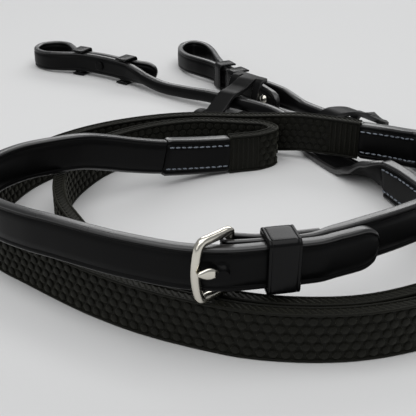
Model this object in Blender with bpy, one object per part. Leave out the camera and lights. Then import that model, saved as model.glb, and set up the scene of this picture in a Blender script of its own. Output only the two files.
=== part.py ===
"""Pair of rubber-grip reins with a centre buckle, laid down in a loose coil.

All lengths are millimetres and are turned to metres when a mesh is made. The leather and rubber
straps stand on edge on the table. Each rein follows one smooth route, and its pieces are lengths
of that route, measured from the buckle. Route points are (x, y, height of the middle, lean), where
a lean of 0 degrees stands the strap on edge and 90 lays it flat.
"""
import math

import bpy
import bmesh
from mathutils import Vector

for old in list(bpy.data.objects):
    bpy.data.objects.remove(old, do_unlink=True)

MM = 0.001
TABLE_CENTRE = (-0.4, 407.9)     # middle of the coil's outline in the routes' frame
GAP = 0.3                        # clearance between pieces that touch

# Straps: (width, thickness, roundness)
LEATHER_WIDTH = 16.5
LEATHER_THICKNESS = 4.2
BIT_LEATHER_THICKNESS = 3.6
SKIVED_THICKNESS = 2.0           # where the strap folds round the heel bar
BILLET_WIDTH = LEATHER_WIDTH - 4.0
BILLET_THICKNESS = 3.6
ROLLED_DIAMETER = 7.6
CORE_WIDTH = LEATHER_WIDTH - 2.0
CORE_THICKNESS = 2.6
LEATHER = (LEATHER_WIDTH, LEATHER_THICKNESS, 0.0)
BIT_LEATHER = (LEATHER_WIDTH, BIT_LEATHER_THICKNESS, 0.0)
SKIVED = (LEATHER_WIDTH, SKIVED_THICKNESS, 0.0)
CORE = (CORE_WIDTH, CORE_THICKNESS, 0.0)
ROLLED = (ROLLED_DIAMETER, ROLLED_DIAMETER, 1.0)
BILLET = (BILLET_WIDTH, BILLET_THICKNESS, 0.0)
CHAMFER = 0.7

# Rubber grips and the leather patches sewn over their ends
GRIP_WIDTH = LEATHER_WIDTH + 3.0
GRIP_THICKNESS = 5.4
GRIP_LENGTH = 455.0
PATCH_WIDTH = LEATHER_WIDTH + 1.7
PATCH_THICKNESS = 5.6
PATCH_LENGTH = 36.0
GRIP = (GRIP_WIDTH, GRIP_THICKNESS, 0.0)
PATCH = (PATCH_WIDTH, PATCH_THICKNESS, 0.0)
POCKET = (CORE_WIDTH + 2 * GAP, CORE_THICKNESS + 2 * GAP, 0.0)

# Lengths along each rein, from its own end at the buckle
TIP_HAND_LENGTH = 284.7
BUCKLE_HAND_LENGTH = 222.0
CHAPE_END = 62.0                 # past the fold, where the buckle strap is full thickness again
TIP_ROUNDING = 8.0
ROLL_BLEND = 16.0                # length over which flat leather becomes rolled, or rolled flat

# Centre buckle
HEEL = (7.4, 246.9)
FRONT_BAR = (-3.3, 237.0)
HEEL_BAR_RADIUS = 1.3
FRAME_INNER_HEIGHT = LEATHER_WIDTH + 1.8
FRAME_BAR = 3.4
FRAME_CORNER = 3.0
FRONT_BULGE = 1.2
TONGUE_THICKNESS = 1.8
TONGUE_WIDTH = 2.8
TONGUE_LEAF = 4.2
TONGUE_BEND = (3.3, 236.7)
TONGUE_TIP = (-3.4, 233.4)
SLOT_HEIGHT = TONGUE_WIDTH + 2.6
FOLD_SLOT = ((0.5, -5.5), (12.6, 5.5))      # the tongue's slot in the fold: x, then y from the heel
TIP_SLOT = ((0.0, -12.0), (10.8, -3.4))     # the tip strap's buckled hole, likewise

# Heights: the coil stands on the table, and the buckled straps and the buckle lie on it. The
# routes below are drawn for these heights, and are stretched if the straps change width.
COIL_CLEARANCE = 0.4
COIL_HEIGHT = GRIP_WIDTH / 2 + 0.05
STRAP_HEIGHT = GRIP_WIDTH + COIL_CLEARANCE + FRAME_INNER_HEIGHT / 2 + FRAME_BAR
DRAWN_LOW_HEIGHT = 8.9            # rows at or below this keep their own height
DRAWN_COIL_HEIGHT = 9.8
DRAWN_STRAP_HEIGHT = 32.8

# Keepers: leather loops round the straps
KEEPER_WALL = 1.4
KEEPER_CLEARANCE = 0.7
BILLET_KEEPER_CLEARANCE = 1.1
CENTRE_KEEPER_WIDTH = 11.5
CENTRE_KEEPER_AT = (24.6, 243.5)  # on the middle of the tip strap
CENTRE_KEEPER_HEADING = (13.0, 2.6)
BILLET_KEEPER_WIDTH = 8.5
LAYER_GAP = 0.4                  # between straps that lie against each other

# Hook studs
STUD_NECK_RADIUS = 1.1
STUD_HEAD_RADIUS = 2.7
STUD_FOOT_RADIUS = 2.9
STUD_CLEARANCE = 2.5 * GAP

# Rein stops
STOP_THICKNESS = 2.4
STOP_WIDTH = 21.0
BRIDGE_WIDTH = 10.4
SLIT_WIDTH = 0.8

# Heights of the rolled reins, over the stops' rims, and of the billets, in their keepers
ROLLED_HEIGHT = STOP_THICKNESS + 0.8 + ROLLED_DIAMETER / 2
BILLET_HEIGHT = BILLET_WIDTH / 2 + KEEPER_CLEARANCE + KEEPER_WALL + 0.15
DRAWN_ROLLED_TOP = 10.8          # the stops' rows are drawn over a rein of this height

# Surface fineness
MAX_STEP = 13.0
MAX_TURN = math.radians(9)

TIP_ROUTE = [
    (58.5, 257, 32.8, 0), (50.5, 252.6, 32.8, 0), (43.5, 249.2, 32.8, 0), (37, 246, 32.8, 0),
    (24, 243.4, 32.8, 0), (10, 240.7, 32.8, 0), (2, 240.4, 32.8, 0), (-7, 241.4, 32.8, 0),
    (-16, 244.0, 32.8, 0), (-31, 250, 32.8, 0), (-43, 256, 32.8, 0), (-55, 262.8, 32.6, 0),
    (-66, 269.8, 31.8, 0), (-78, 280, 30.6, 0), (-87, 293, 29.6, 0), (-91.5, 308, 29.0, 0),
    (-89.5, 323, 28.8, 0), (-80.5, 335.5, 28.8, 0), (-68, 343, 28.8, 0), (-56, 348.5, 28.4, 0),
    (-47, 354, 25.6, 0), (-36, 362, 20.8, 0), (-23, 371, 16.0, 0), (-10, 379.5, 12.6, 0),
    (4, 386.5, 10.4, 0), (16, 390.5, 9.8, 0), (26, 393.5, 9.8, 0), (33, 400, 9.8, 0),
    (29, 407, 9.8, 0), (19, 409, 9.8, 0), (8, 410.8, 9.8, 0), (-6, 411.5, 9.8, 0),
    (-22, 407.5, 9.8, 0), (-38, 399, 9.8, 0), (-51, 387, 9.8, 0), (-60, 370, 9.8, 0),
    (-65, 352, 9.8, 0), (-65, 335, 9.8, 0), (-61, 318, 9.8, 0), (-54, 303, 9.8, 0),
    (-46, 288.5, 9.8, 0), (-35, 274.5, 9.8, 0), (-20, 261, 9.8, 0), (-5, 251.2, 9.8, 0),
    (10, 244.9, 9.8, 0), (24, 241.8, 9.8, 0), (38, 241.0, 9.8, 0), (51, 242.1, 9.8, 0),
    (64, 245.8, 9.8, 0), (79, 253, 9.8, 0), (92, 264, 9.8, 0), (99, 280, 9.8, 0),
    (101, 297, 9.8, 0), (99, 315, 9.8, 0), (94.5, 332, 9.8, 0), (89, 347, 9.8, 0),
    (84, 359, 9.6, 5), (79, 370, 7.6, 42), (74, 380, 4.3, 76), (69.5, 388.5, 2.3, 90),
    (63, 400.5, 1.95, 90), (57.5, 412, 2.0, 90), (52.5, 424, 4.1, 82), (47, 437, 5.0, 45),
    (40, 450, 6.8, 0), (30, 461.5, ROLLED_HEIGHT, 0),
    (16, 472, ROLLED_HEIGHT, 0), (1, 482.5, ROLLED_HEIGHT, 0),
    (-14, 493.5, 5.8, 0), (-29, 505.5, 5.2, 0), (-43, 518.5, 7.4, 0), (-56, 529.5, BILLET_HEIGHT, 0),
    (-70, 539.5, BILLET_HEIGHT, 0), (-85, 547, BILLET_HEIGHT, 0),
    (-99, 550.5, 7.8, 0), (-110, 556, 6.9, 0),
    (-116.5, 565, 6.6, 0), (-115, 575.5, 6.6, 0), (-106.5, 580.5, 6.6, 0), (-97.5, 576.5, 7.0, 0),
    (-92, 566, 7.8, 0), (-88.5, 556.5, 8.6, 0),
    (-82.5, 551.2, BILLET_HEIGHT, 0), (-68, 543.6, BILLET_HEIGHT, 0),
    (-53.2, 533.2, BILLET_HEIGHT, 0), (-43, 527.5, 8.5, 0), (-32.5, 524.5, 8.1, 0),
]
BUCKLE_ROUTE_CHAPE = [
    (37.6, 252.6, 32.8, 0), (30, 250.9, 32.8, 0), (22.7, 249.4, 32.8, 0), (16, 248.4, 32.8, 0),
    (11.5, 248.9, 32.8, 0),
]
BUCKLE_ROUTE_MAIN = [
    (15.3, 245.3, 32.8, 0), (23.3, 246.8, 32.8, 0), (34.5, 249.3, 32.8, 0),
    (41.3, 253.3, 32.8, 0), (48.2, 257, 32.8, 0), (56, 261.6, 32.8, 0), (62.5, 265.4, 32.8, 0),
    (71, 271.5, 32.4, 0), (82, 281.5, 31.2, 0), (93, 295, 29.8, 0), (101, 310, 28.9, 0),
    (106, 328, 28.6, 0), (107, 345, 26.8, 0), (104, 361, 22.6, 0), (97.5, 376, 18.0, 0),
    (89, 387, 15.6, 0),
    (78.5, 394.5, 14.6, 0), (68, 399.2, 14.6, 0), (57, 403.5, 14.6, 0), (47, 407, 14.4, 0),
    (37, 411, 12.8, 0), (25, 415.8, 10.8, 0), (12, 418.8, 9.9, 0), (0, 419.8, 9.8, 0),
    (-12, 419.5, 9.8, 0), (-26, 416.5, 9.8, 0), (-41, 411, 9.8, 0), (-55, 403.5, 9.8, 0),
    (-66, 395, 9.8, 0), (-76, 384.5, 9.8, 0), (-86, 370, 9.8, 0), (-92, 354, 9.8, 0),
    (-95, 337, 9.8, 0), (-94.5, 320, 9.8, 0), (-90, 306, 9.8, 0), (-81.5, 294.5, 9.8, 0),
    (-69, 284, 9.8, 0), (-56, 273.3, 9.8, 0), (-45.5, 265.2, 9.8, 0), (-37.6, 259.8, 9.8, 0),
    (-26.8, 253.2, 9.8, 0), (-16, 247.8, 9.8, 0), (-5, 243.2, 9.8, 0), (3, 240.2, 9.8, 0),
    (11.5, 237.5, 9.8, 0), (24, 235.4, 9.8, 0), (38, 234.7, 9.8, 0), (51, 235.8, 9.8, 0),
    (65, 239.2, 9.8, 0), (82, 246, 9.8, 0), (97, 257, 9.8, 0), (107.5, 272, 9.8, 0),
    (113, 290, 9.8, 0), (115.5, 310, 9.8, 0), (116, 332, 9.8, 0), (114.5, 352, 9.8, 0),
    (111, 371, 9.6, 0), (105.5, 389, 9.2, 0), (99.5, 404, 8.7, 0), (92.5, 417, 7.4, 0),
    (84, 429, ROLLED_HEIGHT, 0), (74, 440.5, ROLLED_HEIGHT, 0),
    (64, 452.5, 6.8, 0), (52.5, 467.5, ROLLED_HEIGHT, 0),
    (41.5, 480.5, 8.2, 0), (30.5, 493, BILLET_HEIGHT, 0),
    (21, 504.5, BILLET_HEIGHT, 0), (14, 516, BILLET_HEIGHT, 0),
    (8.5, 530, 8.4, 0), (5.5, 546, 7.6, 0), (3, 562, 6.8, 0), (-2, 576, 6.6, 0),
    (-10, 582, 6.6, 0), (-17, 576, 6.6, 0), (-18.5, 562, 6.8, 0), (-14, 547.5, 7.6, 0),
    (-6.5, 537, 8.4, 0), (2, 528, BILLET_HEIGHT, 0),
    (8.5, 518.4, BILLET_HEIGHT, 0), (13.7, 508.4, BILLET_HEIGHT, 0),
    (17.5, 502.0, BILLET_HEIGHT, 0), (24.5, 491.5, BILLET_HEIGHT, 0),
    (31, 483, 8.7, 0), (36, 474, 8.2, 0),
    (40.5, 465, 7.8, 0),
]


def material(name, colour, roughness, metallic=0.0):
    made = bpy.data.materials.new(name)
    made.use_nodes = True
    shader = made.node_tree.nodes["Principled BSDF"]
    shader.inputs["Base Color"].default_value = (*colour, 1.0)
    shader.inputs["Roughness"].default_value = roughness
    shader.inputs["Metallic"].default_value = metallic
    return made


BLACK_LEATHER = material("black_leather", (0.012, 0.012, 0.013), 0.42)
BLACK_RUBBER = material("black_rubber", (0.017, 0.017, 0.015), 0.7)
WEB = material("woven_web", (0.02, 0.02, 0.02), 0.9)
STEEL = material("polished_steel", (0.72, 0.70, 0.66), 0.14, 1.0)


def add_object(name, mesh_data, look, origin=None):
    """Turn a bmesh in millimetres, in the routes' frame, into an object in metres.

    origin, also in the routes' frame, is for a piece that moves: a point on its joint's axis.
    """
    centre = Vector((TABLE_CENTRE[0], TABLE_CENTRE[1], 0.0))
    origin = centre if origin is None else origin
    bmesh.ops.translate(mesh_data, verts=mesh_data.verts, vec=-origin)
    bmesh.ops.scale(mesh_data, verts=mesh_data.verts, vec=(MM, MM, MM))
    bmesh.ops.recalc_face_normals(mesh_data, faces=mesh_data.faces)
    mesh = bpy.data.meshes.new(name)
    mesh_data.to_mesh(mesh)
    mesh_data.free()
    made = bpy.data.objects.new(name, mesh)
    made.location = (origin - centre) * MM
    bpy.context.collection.objects.link(made)
    mesh.materials.append(look)
    mesh.shade_smooth()
    mesh.set_sharp_from_angle(angle=math.radians(40))
    return made


def level(z):
    """Height of a strap's middle, stretched from the height it was drawn at."""
    if z <= DRAWN_LOW_HEIGHT:
        return z
    if z <= DRAWN_COIL_HEIGHT:
        share = (z - DRAWN_LOW_HEIGHT) / (DRAWN_COIL_HEIGHT - DRAWN_LOW_HEIGHT)
        return DRAWN_LOW_HEIGHT + share * (COIL_HEIGHT - DRAWN_LOW_HEIGHT)
    share = (z - DRAWN_COIL_HEIGHT) / (DRAWN_STRAP_HEIGHT - DRAWN_COIL_HEIGHT)
    return COIL_HEIGHT + share * (STRAP_HEIGHT - COIL_HEIGHT)


class Route:
    """A smooth curve through points, read by the length along it."""

    def __init__(self, points, samples=24):
        rows = [Vector((x, y, level(z))) for x, y, z, _ in points]
        leans = [math.radians(p[3]) for p in points]
        knots = [0.0]
        for a, b in zip(rows, rows[1:]):
            knots.append(knots[-1] + (b - a).length)
        slopes = []
        for i in range(len(rows)):
            a = max(i - 1, 0)
            b = min(i + 1, len(rows) - 1)
            slopes.append((rows[b] - rows[a]) / (knots[b] - knots[a]))
        self.places = []
        self.leans = []
        for i in range(len(rows) - 1):
            span = knots[i + 1] - knots[i]
            for j in range(samples):
                t = j / samples
                h00 = (1 + 2 * t) * (1 - t) ** 2
                h10 = t * (1 - t) ** 2
                h01 = t * t * (3 - 2 * t)
                h11 = t * t * (t - 1)
                place = rows[i] * h00 + rows[i + 1] * h01
                place += (slopes[i] * h10 + slopes[i + 1] * h11) * span
                self.places.append(place)
                self.leans.append(leans[i] * (1 - h01) + leans[i + 1] * h01)
        self.places.append(rows[-1])
        self.leans.append(leans[-1])
        self.lengths = [0.0]
        for a, b in zip(self.places, self.places[1:]):
            self.lengths.append(self.lengths[-1] + (b - a).length)
        self.length = self.lengths[-1]
        self.set_grid()

    def _segment(self, s):
        low = 0
        high = len(self.lengths) - 2
        while low < high:
            middle = (low + high + 1) // 2
            if self.lengths[middle] <= s:
                low = middle
            else:
                high = middle - 1
        span = self.lengths[low + 1] - self.lengths[low]
        return low, (s - self.lengths[low]) / span

    def place(self, s):
        i, t = self._segment(s)
        return self.places[i].lerp(self.places[i + 1], t)

    def axes(self, s):
        """Place, forward, width and thickness directions at length s."""
        ahead = self.place(min(s + 0.6, self.length))
        behind = self.place(max(s - 0.6, 0.0))
        forward = (ahead - behind).normalized()
        side = Vector((0, 0, 1)).cross(forward).normalized()
        rise = forward.cross(side)
        i, t = self._segment(s)
        lean = self.leans[i] * (1 - t) + self.leans[i + 1] * t
        wide = rise * math.cos(lean) + side * math.sin(lean)
        thick = side * math.cos(lean) - rise * math.sin(lean)
        return self.place(s), forward, wide, thick

    def nearest(self, x, y, start=0.0, end=None):
        """Length along the route where it passes nearest to a point seen from above."""
        end = self.length if end is None else end
        target = Vector((x, y))
        found = (s for s in self.lengths if start <= s <= end)
        return min(found, key=lambda s: (self.place(s).xy - target).length)

    def set_grid(self):
        """Lengths shared by every piece on the route, closer together where it bends."""
        self.grid = [0.0]
        heading = self.axes(0.0)[1]
        s = 0.0
        while s < self.length:
            s += 0.5
            turned = self.axes(min(s, self.length))[1].angle(heading)
            if turned > MAX_TURN or s - self.grid[-1] > MAX_STEP:
                self.grid.append(s)
                heading = self.axes(s)[1]

    def stations(self, stops):
        """Lengths at which to set a section: every stop, and the shared grid between them."""
        found = list(stops)
        for s in self.grid:
            if stops[0] < s < stops[-1] and min(abs(s - stop) for stop in stops) > 0.6:
                found.append(s)
        return sorted(found)


def section(shape):
    """Eight points round a strap's cross-section, from a chamfered rectangle to a circle."""
    width, thickness, roundness = shape
    cut = min(CHAMFER, thickness * 0.3)
    a = width / 2
    b = thickness / 2
    corners = [
        (a, b - cut), (a - cut, b), (cut - a, b), (-a, b - cut),
        (-a, cut - b), (cut - a, -b), (a - cut, -b), (a, cut - b),
    ]
    ring = []
    for k, (x, y) in enumerate(corners):
        turn = math.radians(22.5 + 45 * k)
        round_x = a * math.cos(turn)
        round_y = b * math.sin(turn)
        ring.append((x + (round_x - x) * roundness, y + (round_y - y) * roundness))
    return ring


def shape_at(spans, s):
    """Cross-section at length s, between the (length, shape) rows of spans."""
    for (s0, first), (s1, second) in zip(spans, spans[1:]):
        if s <= s1:
            t = 0.0 if s1 <= s0 else max(0.0, (s - s0) / (s1 - s0))
            return tuple(p + (q - p) * t for p, q in zip(first, second))
    return spans[-1][1]


def add_rings(mesh_data, route, spans):
    """Rings of section points along a route, joined by faces. Gives the first and last ring."""
    rings = []
    for s in route.stations([row[0] for row in spans]):
        centre, _, wide, thick = route.axes(s)
        points = section(shape_at(spans, s))
        rings.append([mesh_data.verts.new(centre + wide * x + thick * y) for x, y in points])
    for a, b in zip(rings, rings[1:]):
        for k in range(len(a)):
            m = (k + 1) % len(a)
            mesh_data.faces.new((a[k], a[m], b[m], b[k]))
    return rings[0], rings[-1]


def strap(name, route, spans, look, origin=None):
    mesh_data = bmesh.new()
    first, last = add_rings(mesh_data, route, spans)
    mesh_data.faces.new(first)
    mesh_data.faces.new(last)
    return add_object(name, mesh_data, look, origin)


def sleeve(name, route, start, end, outer, inner, look):
    """An open-ended tube of strap section."""
    mesh_data = bmesh.new()
    skins = [add_rings(mesh_data, route, [(start, s), (end, s)]) for s in (outer, inner)]
    for outside, inside in zip(*skins):
        for k in range(len(outside)):
            m = (k + 1) % len(outside)
            mesh_data.faces.new((outside[k], outside[m], inside[m], inside[k]))
    return add_object(name, mesh_data, look)


def rounded_end(shape, at_length, direction, rounding):
    """Section rows that bring a strap's end to a rounded tip."""
    width, thickness, roundness = shape
    rows = []
    for share in (1.0, 0.72, 0.44, 0.2, 0.04):
        breadth = width * (0.22 + 0.78 * math.sqrt(1 - (1 - share) ** 2))
        rows.append((at_length - direction * rounding * share, (breadth, thickness, roundness)))
    rows.append((at_length, (width * 0.22, thickness, roundness)))
    return rows


def cutter(name, low, high):
    """A box, in the routes' frame, that is cut out of a strap."""
    mesh_data = bmesh.new()
    bmesh.ops.create_cube(mesh_data, size=1.0)
    size = Vector(high) - Vector(low)
    middle = (Vector(high) + Vector(low)) / 2
    bmesh.ops.scale(mesh_data, verts=mesh_data.verts, vec=size)
    bmesh.ops.translate(mesh_data, verts=mesh_data.verts, vec=middle)
    return hide(add_object(name, mesh_data, STEEL))


def hide(made):
    made.hide_render = True
    made.display_type = "WIRE"
    return made


def cut(target, tool):
    step = target.modifiers.new(tool.name, "BOOLEAN")
    step.operation = "DIFFERENCE"
    step.solver = "EXACT"
    step.object = tool


def turned(name, profile, centre, axis, look, sides=16):
    """A body turned round an axis: profile rows are (distance along it, radius)."""
    mesh_data = bmesh.new()
    along = axis.normalized()
    across = along.orthogonal().normalized()
    third = along.cross(across)
    rings = []
    for reach, radius in profile:
        ring = []
        for k in range(sides):
            turn = 2 * math.pi * k / sides
            offset = across * math.cos(turn) + third * math.sin(turn)
            ring.append(mesh_data.verts.new(centre + along * reach + offset * radius))
        rings.append(ring)
    for a, b in zip(rings, rings[1:]):
        for k in range(sides):
            m = (k + 1) % sides
            mesh_data.faces.new((a[k], a[m], b[m], b[k]))
    mesh_data.faces.new(rings[0])
    mesh_data.faces.new(rings[-1])
    return add_object(name, mesh_data, look)


def keeper(name, centre, heading, inner_depth, inner_height, width):
    """A leather loop: rounded outside, with a rectangular way through along its heading."""
    mesh_data = bmesh.new()
    forward = heading.normalized()
    side = Vector((0, 0, 1)).cross(forward).normalized()
    corner_steps = 3
    rows = []
    for wall, radius in ((KEEPER_WALL, KEEPER_WALL + 0.4), (0.0, 0.4)):
        a = inner_depth / 2 + wall - radius
        b = inner_height / 2 + wall - radius
        outline = []
        for quarter, (sx, sy) in enumerate(((1, 1), (-1, 1), (-1, -1), (1, -1))):
            for step in range(corner_steps + 1):
                turn = math.radians(90 * (quarter + step / corner_steps))
                outline.append((sx * a + radius * math.cos(turn), sy * b + radius * math.sin(turn)))
        rows.append(outline)
    rings = []
    for end in (-width / 2, width / 2):
        for outline in rows:
            ring = []
            for x, z in outline:
                place = centre + forward * end + side * x + Vector((0, 0, z))
                ring.append(mesh_data.verts.new(place))
            rings.append(ring)
    near_out, near_in, far_out, far_in = rings
    for a, b in ((near_out, far_out), (near_in, far_in), (near_out, near_in), (far_out, far_in)):
        for k in range(len(a)):
            m = (k + 1) % len(a)
            mesh_data.faces.new((a[k], a[m], b[m], b[k]))
    return add_object(name, mesh_data, BLACK_LEATHER, centre)


def fold_arc(centre, radius, start, end, steps):
    """Route points round the heel bar, between two angles in degrees."""
    rows = []
    for k in range(steps + 1):
        turn = math.radians(start + (end - start) * k / steps)
        x = centre[0] + radius * math.cos(turn)
        y = centre[1] + radius * math.sin(turn)
        rows.append((x, y, DRAWN_STRAP_HEIGHT, 0))
    return rows


def frame_path():
    """Closed path of the buckle frame's bars: (along the frame, height, bar radius) rows."""
    reach = math.dist(HEEL, FRONT_BAR)
    half = FRAME_INNER_HEIGHT / 2 + FRAME_BAR / 2
    thin = HEEL_BAR_RADIUS
    thick = FRAME_BAR / 2
    rows = [(0.0, -half + 3.4, thin), (0.0, 0.0, thin), (0.0, half - 3.4, thin)]
    rows.append((0.25, half - 0.6, thick * 0.95))
    rows.append((1.4, half, thick))
    for share in (0.35, 0.62):
        rows.append((reach * share, half, thick))
    for turn in (75, 45, 15):
        x = reach - FRAME_CORNER + FRAME_CORNER * math.cos(math.radians(turn))
        z = half - FRAME_CORNER + FRAME_CORNER * math.sin(math.radians(turn))
        rows.append((x, z, thick))
    for share in (0.5, 0.0):
        rows.append((reach + FRONT_BULGE * (1 - share ** 2), (half - FRAME_CORNER) * share, thick))
    mirrored = [(x, -z, r) for x, z, r in reversed(rows[3:-1])]
    return rows + mirrored


def buckle_frame():
    heel = Vector((*HEEL, STRAP_HEIGHT))
    along = (Vector((*FRONT_BAR, STRAP_HEIGHT)) - heel).normalized()
    rows = frame_path()
    places = [heel + along * x + Vector((0, 0, z)) for x, z, _ in rows]
    mesh_data = bmesh.new()
    normal = along.cross(Vector((0, 0, 1))).normalized()
    rings = []
    count = len(rows)
    for k, place in enumerate(places):
        forward = (places[(k + 1) % count] - places[k - 1]).normalized()
        inward = forward.cross(normal)
        radius = rows[k][2]
        ring = []
        for j in range(8):
            turn = math.radians(22.5 + 45 * j)
            offset = inward * math.cos(turn) * radius + normal * math.sin(turn) * radius * 0.94
            ring.append(mesh_data.verts.new(place + offset))
        rings.append(ring)
    for k, a in enumerate(rings):
        b = rings[(k + 1) % count]
        for j in range(8):
            m = (j + 1) % 8
            mesh_data.faces.new((a[j], a[m], b[m], b[j]))
    return add_object("buckle_frame", mesh_data, STEEL, heel)


def buckle_tongue():
    """Curled round the heel bar, then straight through both straps to rest on the front bar."""
    curl = HEEL_BAR_RADIUS + 0.25 + TONGUE_THICKNESS / 2
    heel = Vector((*HEEL, 0.0))
    bend = Vector((*TONGUE_BEND, 0.0))
    tip = Vector((*TONGUE_TIP, 0.0))
    away = (bend - heel).to_2d()
    bearing = math.degrees(math.atan2(away.y, away.x))
    leave = bearing + math.degrees(math.acos(curl / away.length))
    rows = fold_arc(HEEL, curl, leave + 262, leave, 9)
    last = Vector(rows[-1][:2])
    spots = [last.lerp(bend.to_2d(), share) for share in (0.3, 0.6, 0.85)]
    spots += [bend.lerp(tip, share).to_2d() for share in (0.15, 0.55, 1.0)]
    rows += [(spot.x, spot.y, DRAWN_STRAP_HEIGHT, 0) for spot in spots]
    route = Route(rows)
    shank = (TONGUE_WIDTH, TONGUE_THICKNESS, 0.0)
    leaf = (TONGUE_LEAF, TONGUE_THICKNESS, 0.3)
    point = (1.2, TONGUE_THICKNESS * 0.6, 0.3)
    end = route.length
    spans = [(0.0, shank), (end - 9.5, shank), (end - 5.0, leaf), (end - 2.0, leaf), (end, point)]
    pivot = Vector((*HEEL, STRAP_HEIGHT))
    return strap("buckle_tongue", route, spans, STEEL, pivot)


def hook_stud(name, route, main_at, tail_at):
    """A riveted stud through a billet and its turned-back tail, with its head outside the tail."""
    main = route.place(main_at)
    tail = route.place(tail_at)
    axis = (tail - main).normalized()
    spread = (tail - main).length
    inner = -BILLET_THICKNESS / 2 - STUD_CLEARANCE
    outer = spread + BILLET_THICKNESS / 2 + STUD_CLEARANCE
    profile = [
        (inner - 1.0, STUD_FOOT_RADIUS * 0.7), (inner - 0.6, STUD_FOOT_RADIUS),
        (inner, STUD_FOOT_RADIUS), (inner, STUD_NECK_RADIUS), (outer, STUD_NECK_RADIUS),
        (outer, STUD_HEAD_RADIUS * 0.8), (outer + 0.8, STUD_HEAD_RADIUS),
        (outer + 2.0, STUD_HEAD_RADIUS * 0.8), (outer + 2.7, STUD_HEAD_RADIUS * 0.3),
    ]
    turned(name, profile, main, axis, STEEL)
    hole = [(inner - 1.0, STUD_NECK_RADIUS + GAP), (outer + 1.0, STUD_NECK_RADIUS + GAP)]
    return hide(turned(name + "_hole", hole, main, axis, STEEL))


def rein_stop(name, centre, bearing, skew, rows):
    """A slit leather strip: its middle bridges over the rolled rein, its rims pass under it.

    rows are (place along the strip, height of the bridge, height of the rims). skew shifts the
    arch along the strip with distance across it, where the rein passes at a slant.
    """
    half = STOP_WIDTH / 2
    bridge = BRIDGE_WIDTH / 2
    slit = bridge + SLIT_WIDTH
    lanes = [-half, -slit, -bridge, 0.0, bridge, slit, half]
    along = Vector((math.cos(math.radians(bearing)), math.sin(math.radians(bearing)), 0))
    across = Vector((-along.y, along.x, 0))

    stretch = (ROLLED_HEIGHT + ROLLED_DIAMETER / 2) / DRAWN_ROLLED_TOP

    def height(u, column):
        for a, b in zip(rows, rows[1:]):
            if u <= b[0]:
                t = max(0.0, (u - a[0]) / (b[0] - a[0]))
                return a[column] * (1 - t) + b[column] * t
        return rows[-1][column]

    mesh_data = bmesh.new()
    grid = []
    for u, _, _ in rows:
        line = []
        for v in lanes:
            column = 2 if abs(v) >= slit else 1
            z = height(u - v * skew, column) * stretch
            spot = Vector((*centre, z)) + along * u + across * v
            line.append(mesh_data.verts.new(spot))
        grid.append(line)
    joined = [abs(row[1] - row[2]) < 0.01 for row in rows]
    for i in range(len(rows) - 1):
        for j in range(len(lanes) - 1):
            in_slit = j in (1, 4)
            if in_slit and not (joined[i] and joined[i + 1]):
                continue
            corners = (grid[i][j], grid[i + 1][j], grid[i + 1][j + 1], grid[i][j + 1])
            mesh_data.faces.new(corners)
    middle = Vector((*centre, ROLLED_HEIGHT))
    made = add_object(name, mesh_data, BLACK_LEATHER, middle)
    wall = made.modifiers.new("leather", "SOLIDIFY")
    wall.thickness = STOP_THICKNESS * MM
    wall.offset = 0.0
    return made


def billet_keeper(name, route, main_at, tail_at):
    """A keeper round a billet and its tail, centred between them."""
    main, forward, _, _ = route.axes(main_at)
    tail, backward, _, _ = route.axes(tail_at)
    forward = forward - backward
    depth = (tail - main).length + BILLET_THICKNESS + 2 * BILLET_KEEPER_CLEARANCE
    height = BILLET_WIDTH + 2 * KEEPER_CLEARANCE
    level = Vector((forward.x, forward.y, 0))
    return keeper(name, (main + tail) / 2, level, depth, height, BILLET_KEEPER_WIDTH)


def build_rein(side, route, hand_length, hand_spans, marks):
    """Hand strap, grip with its core and patches, and the bit strap of one rein."""
    patch_end = hand_length + PATCH_LENGTH
    grip_end = patch_end + GRIP_LENGTH
    bit_start = grip_end + PATCH_LENGTH
    join = PATCH_LENGTH / 2
    step = 0.4
    hand = hand_spans + [
        (hand_length - GAP - step, LEATHER), (hand_length - GAP, CORE),
        (hand_length + join - GAP / 2, CORE),
    ]
    hand_strap = strap("hand_strap_" + side, route, hand, BLACK_LEATHER)
    for name, start in (("hand_end_patch_", hand_length), ("bit_end_patch_", grip_end)):
        sleeve(name + side, route, start, start + PATCH_LENGTH, PATCH, POCKET, BLACK_LEATHER)
    grip_range = (patch_end + GAP, grip_end - GAP)
    sleeve("rubber_grip_" + side, route, *grip_range, GRIP, POCKET, BLACK_RUBBER)
    core = [(hand_length + join + GAP / 2, CORE), (grip_end + join - GAP / 2, CORE)]
    strap("grip_core_" + side, route, core, WEB)
    rolled_start, billet_start = marks
    bit = [
        (grip_end + join + GAP / 2, CORE), (bit_start + GAP, CORE),
        (bit_start + GAP + step, BIT_LEATHER), (rolled_start, BIT_LEATHER),
        (rolled_start + ROLL_BLEND, ROLLED),
        (billet_start, ROLLED), (billet_start + ROLL_BLEND, BILLET),
    ]
    bit += rounded_end(BILLET, route.length, 1, TIP_ROUNDING)
    bit_strap = strap("bit_strap_" + side, route, bit, BLACK_LEATHER)
    return hand_strap, bit_strap


def build_tip_rein():
    """The rein whose strap ends in the buckled tip. Gives its route and its bit strap."""
    route = Route(TIP_ROUTE)
    tip = list(reversed(rounded_end(LEATHER, 0.0, -1, TIP_ROUNDING)))
    marks = [route.nearest(*spot) for spot in TIP_ROLL]
    hand_strap, bit_strap = build_rein("tip_side", route, TIP_HAND_LENGTH, tip, marks)
    cut(hand_strap, tongue_slot("tip_slot", TIP_SLOT))
    return route, bit_strap


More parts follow.
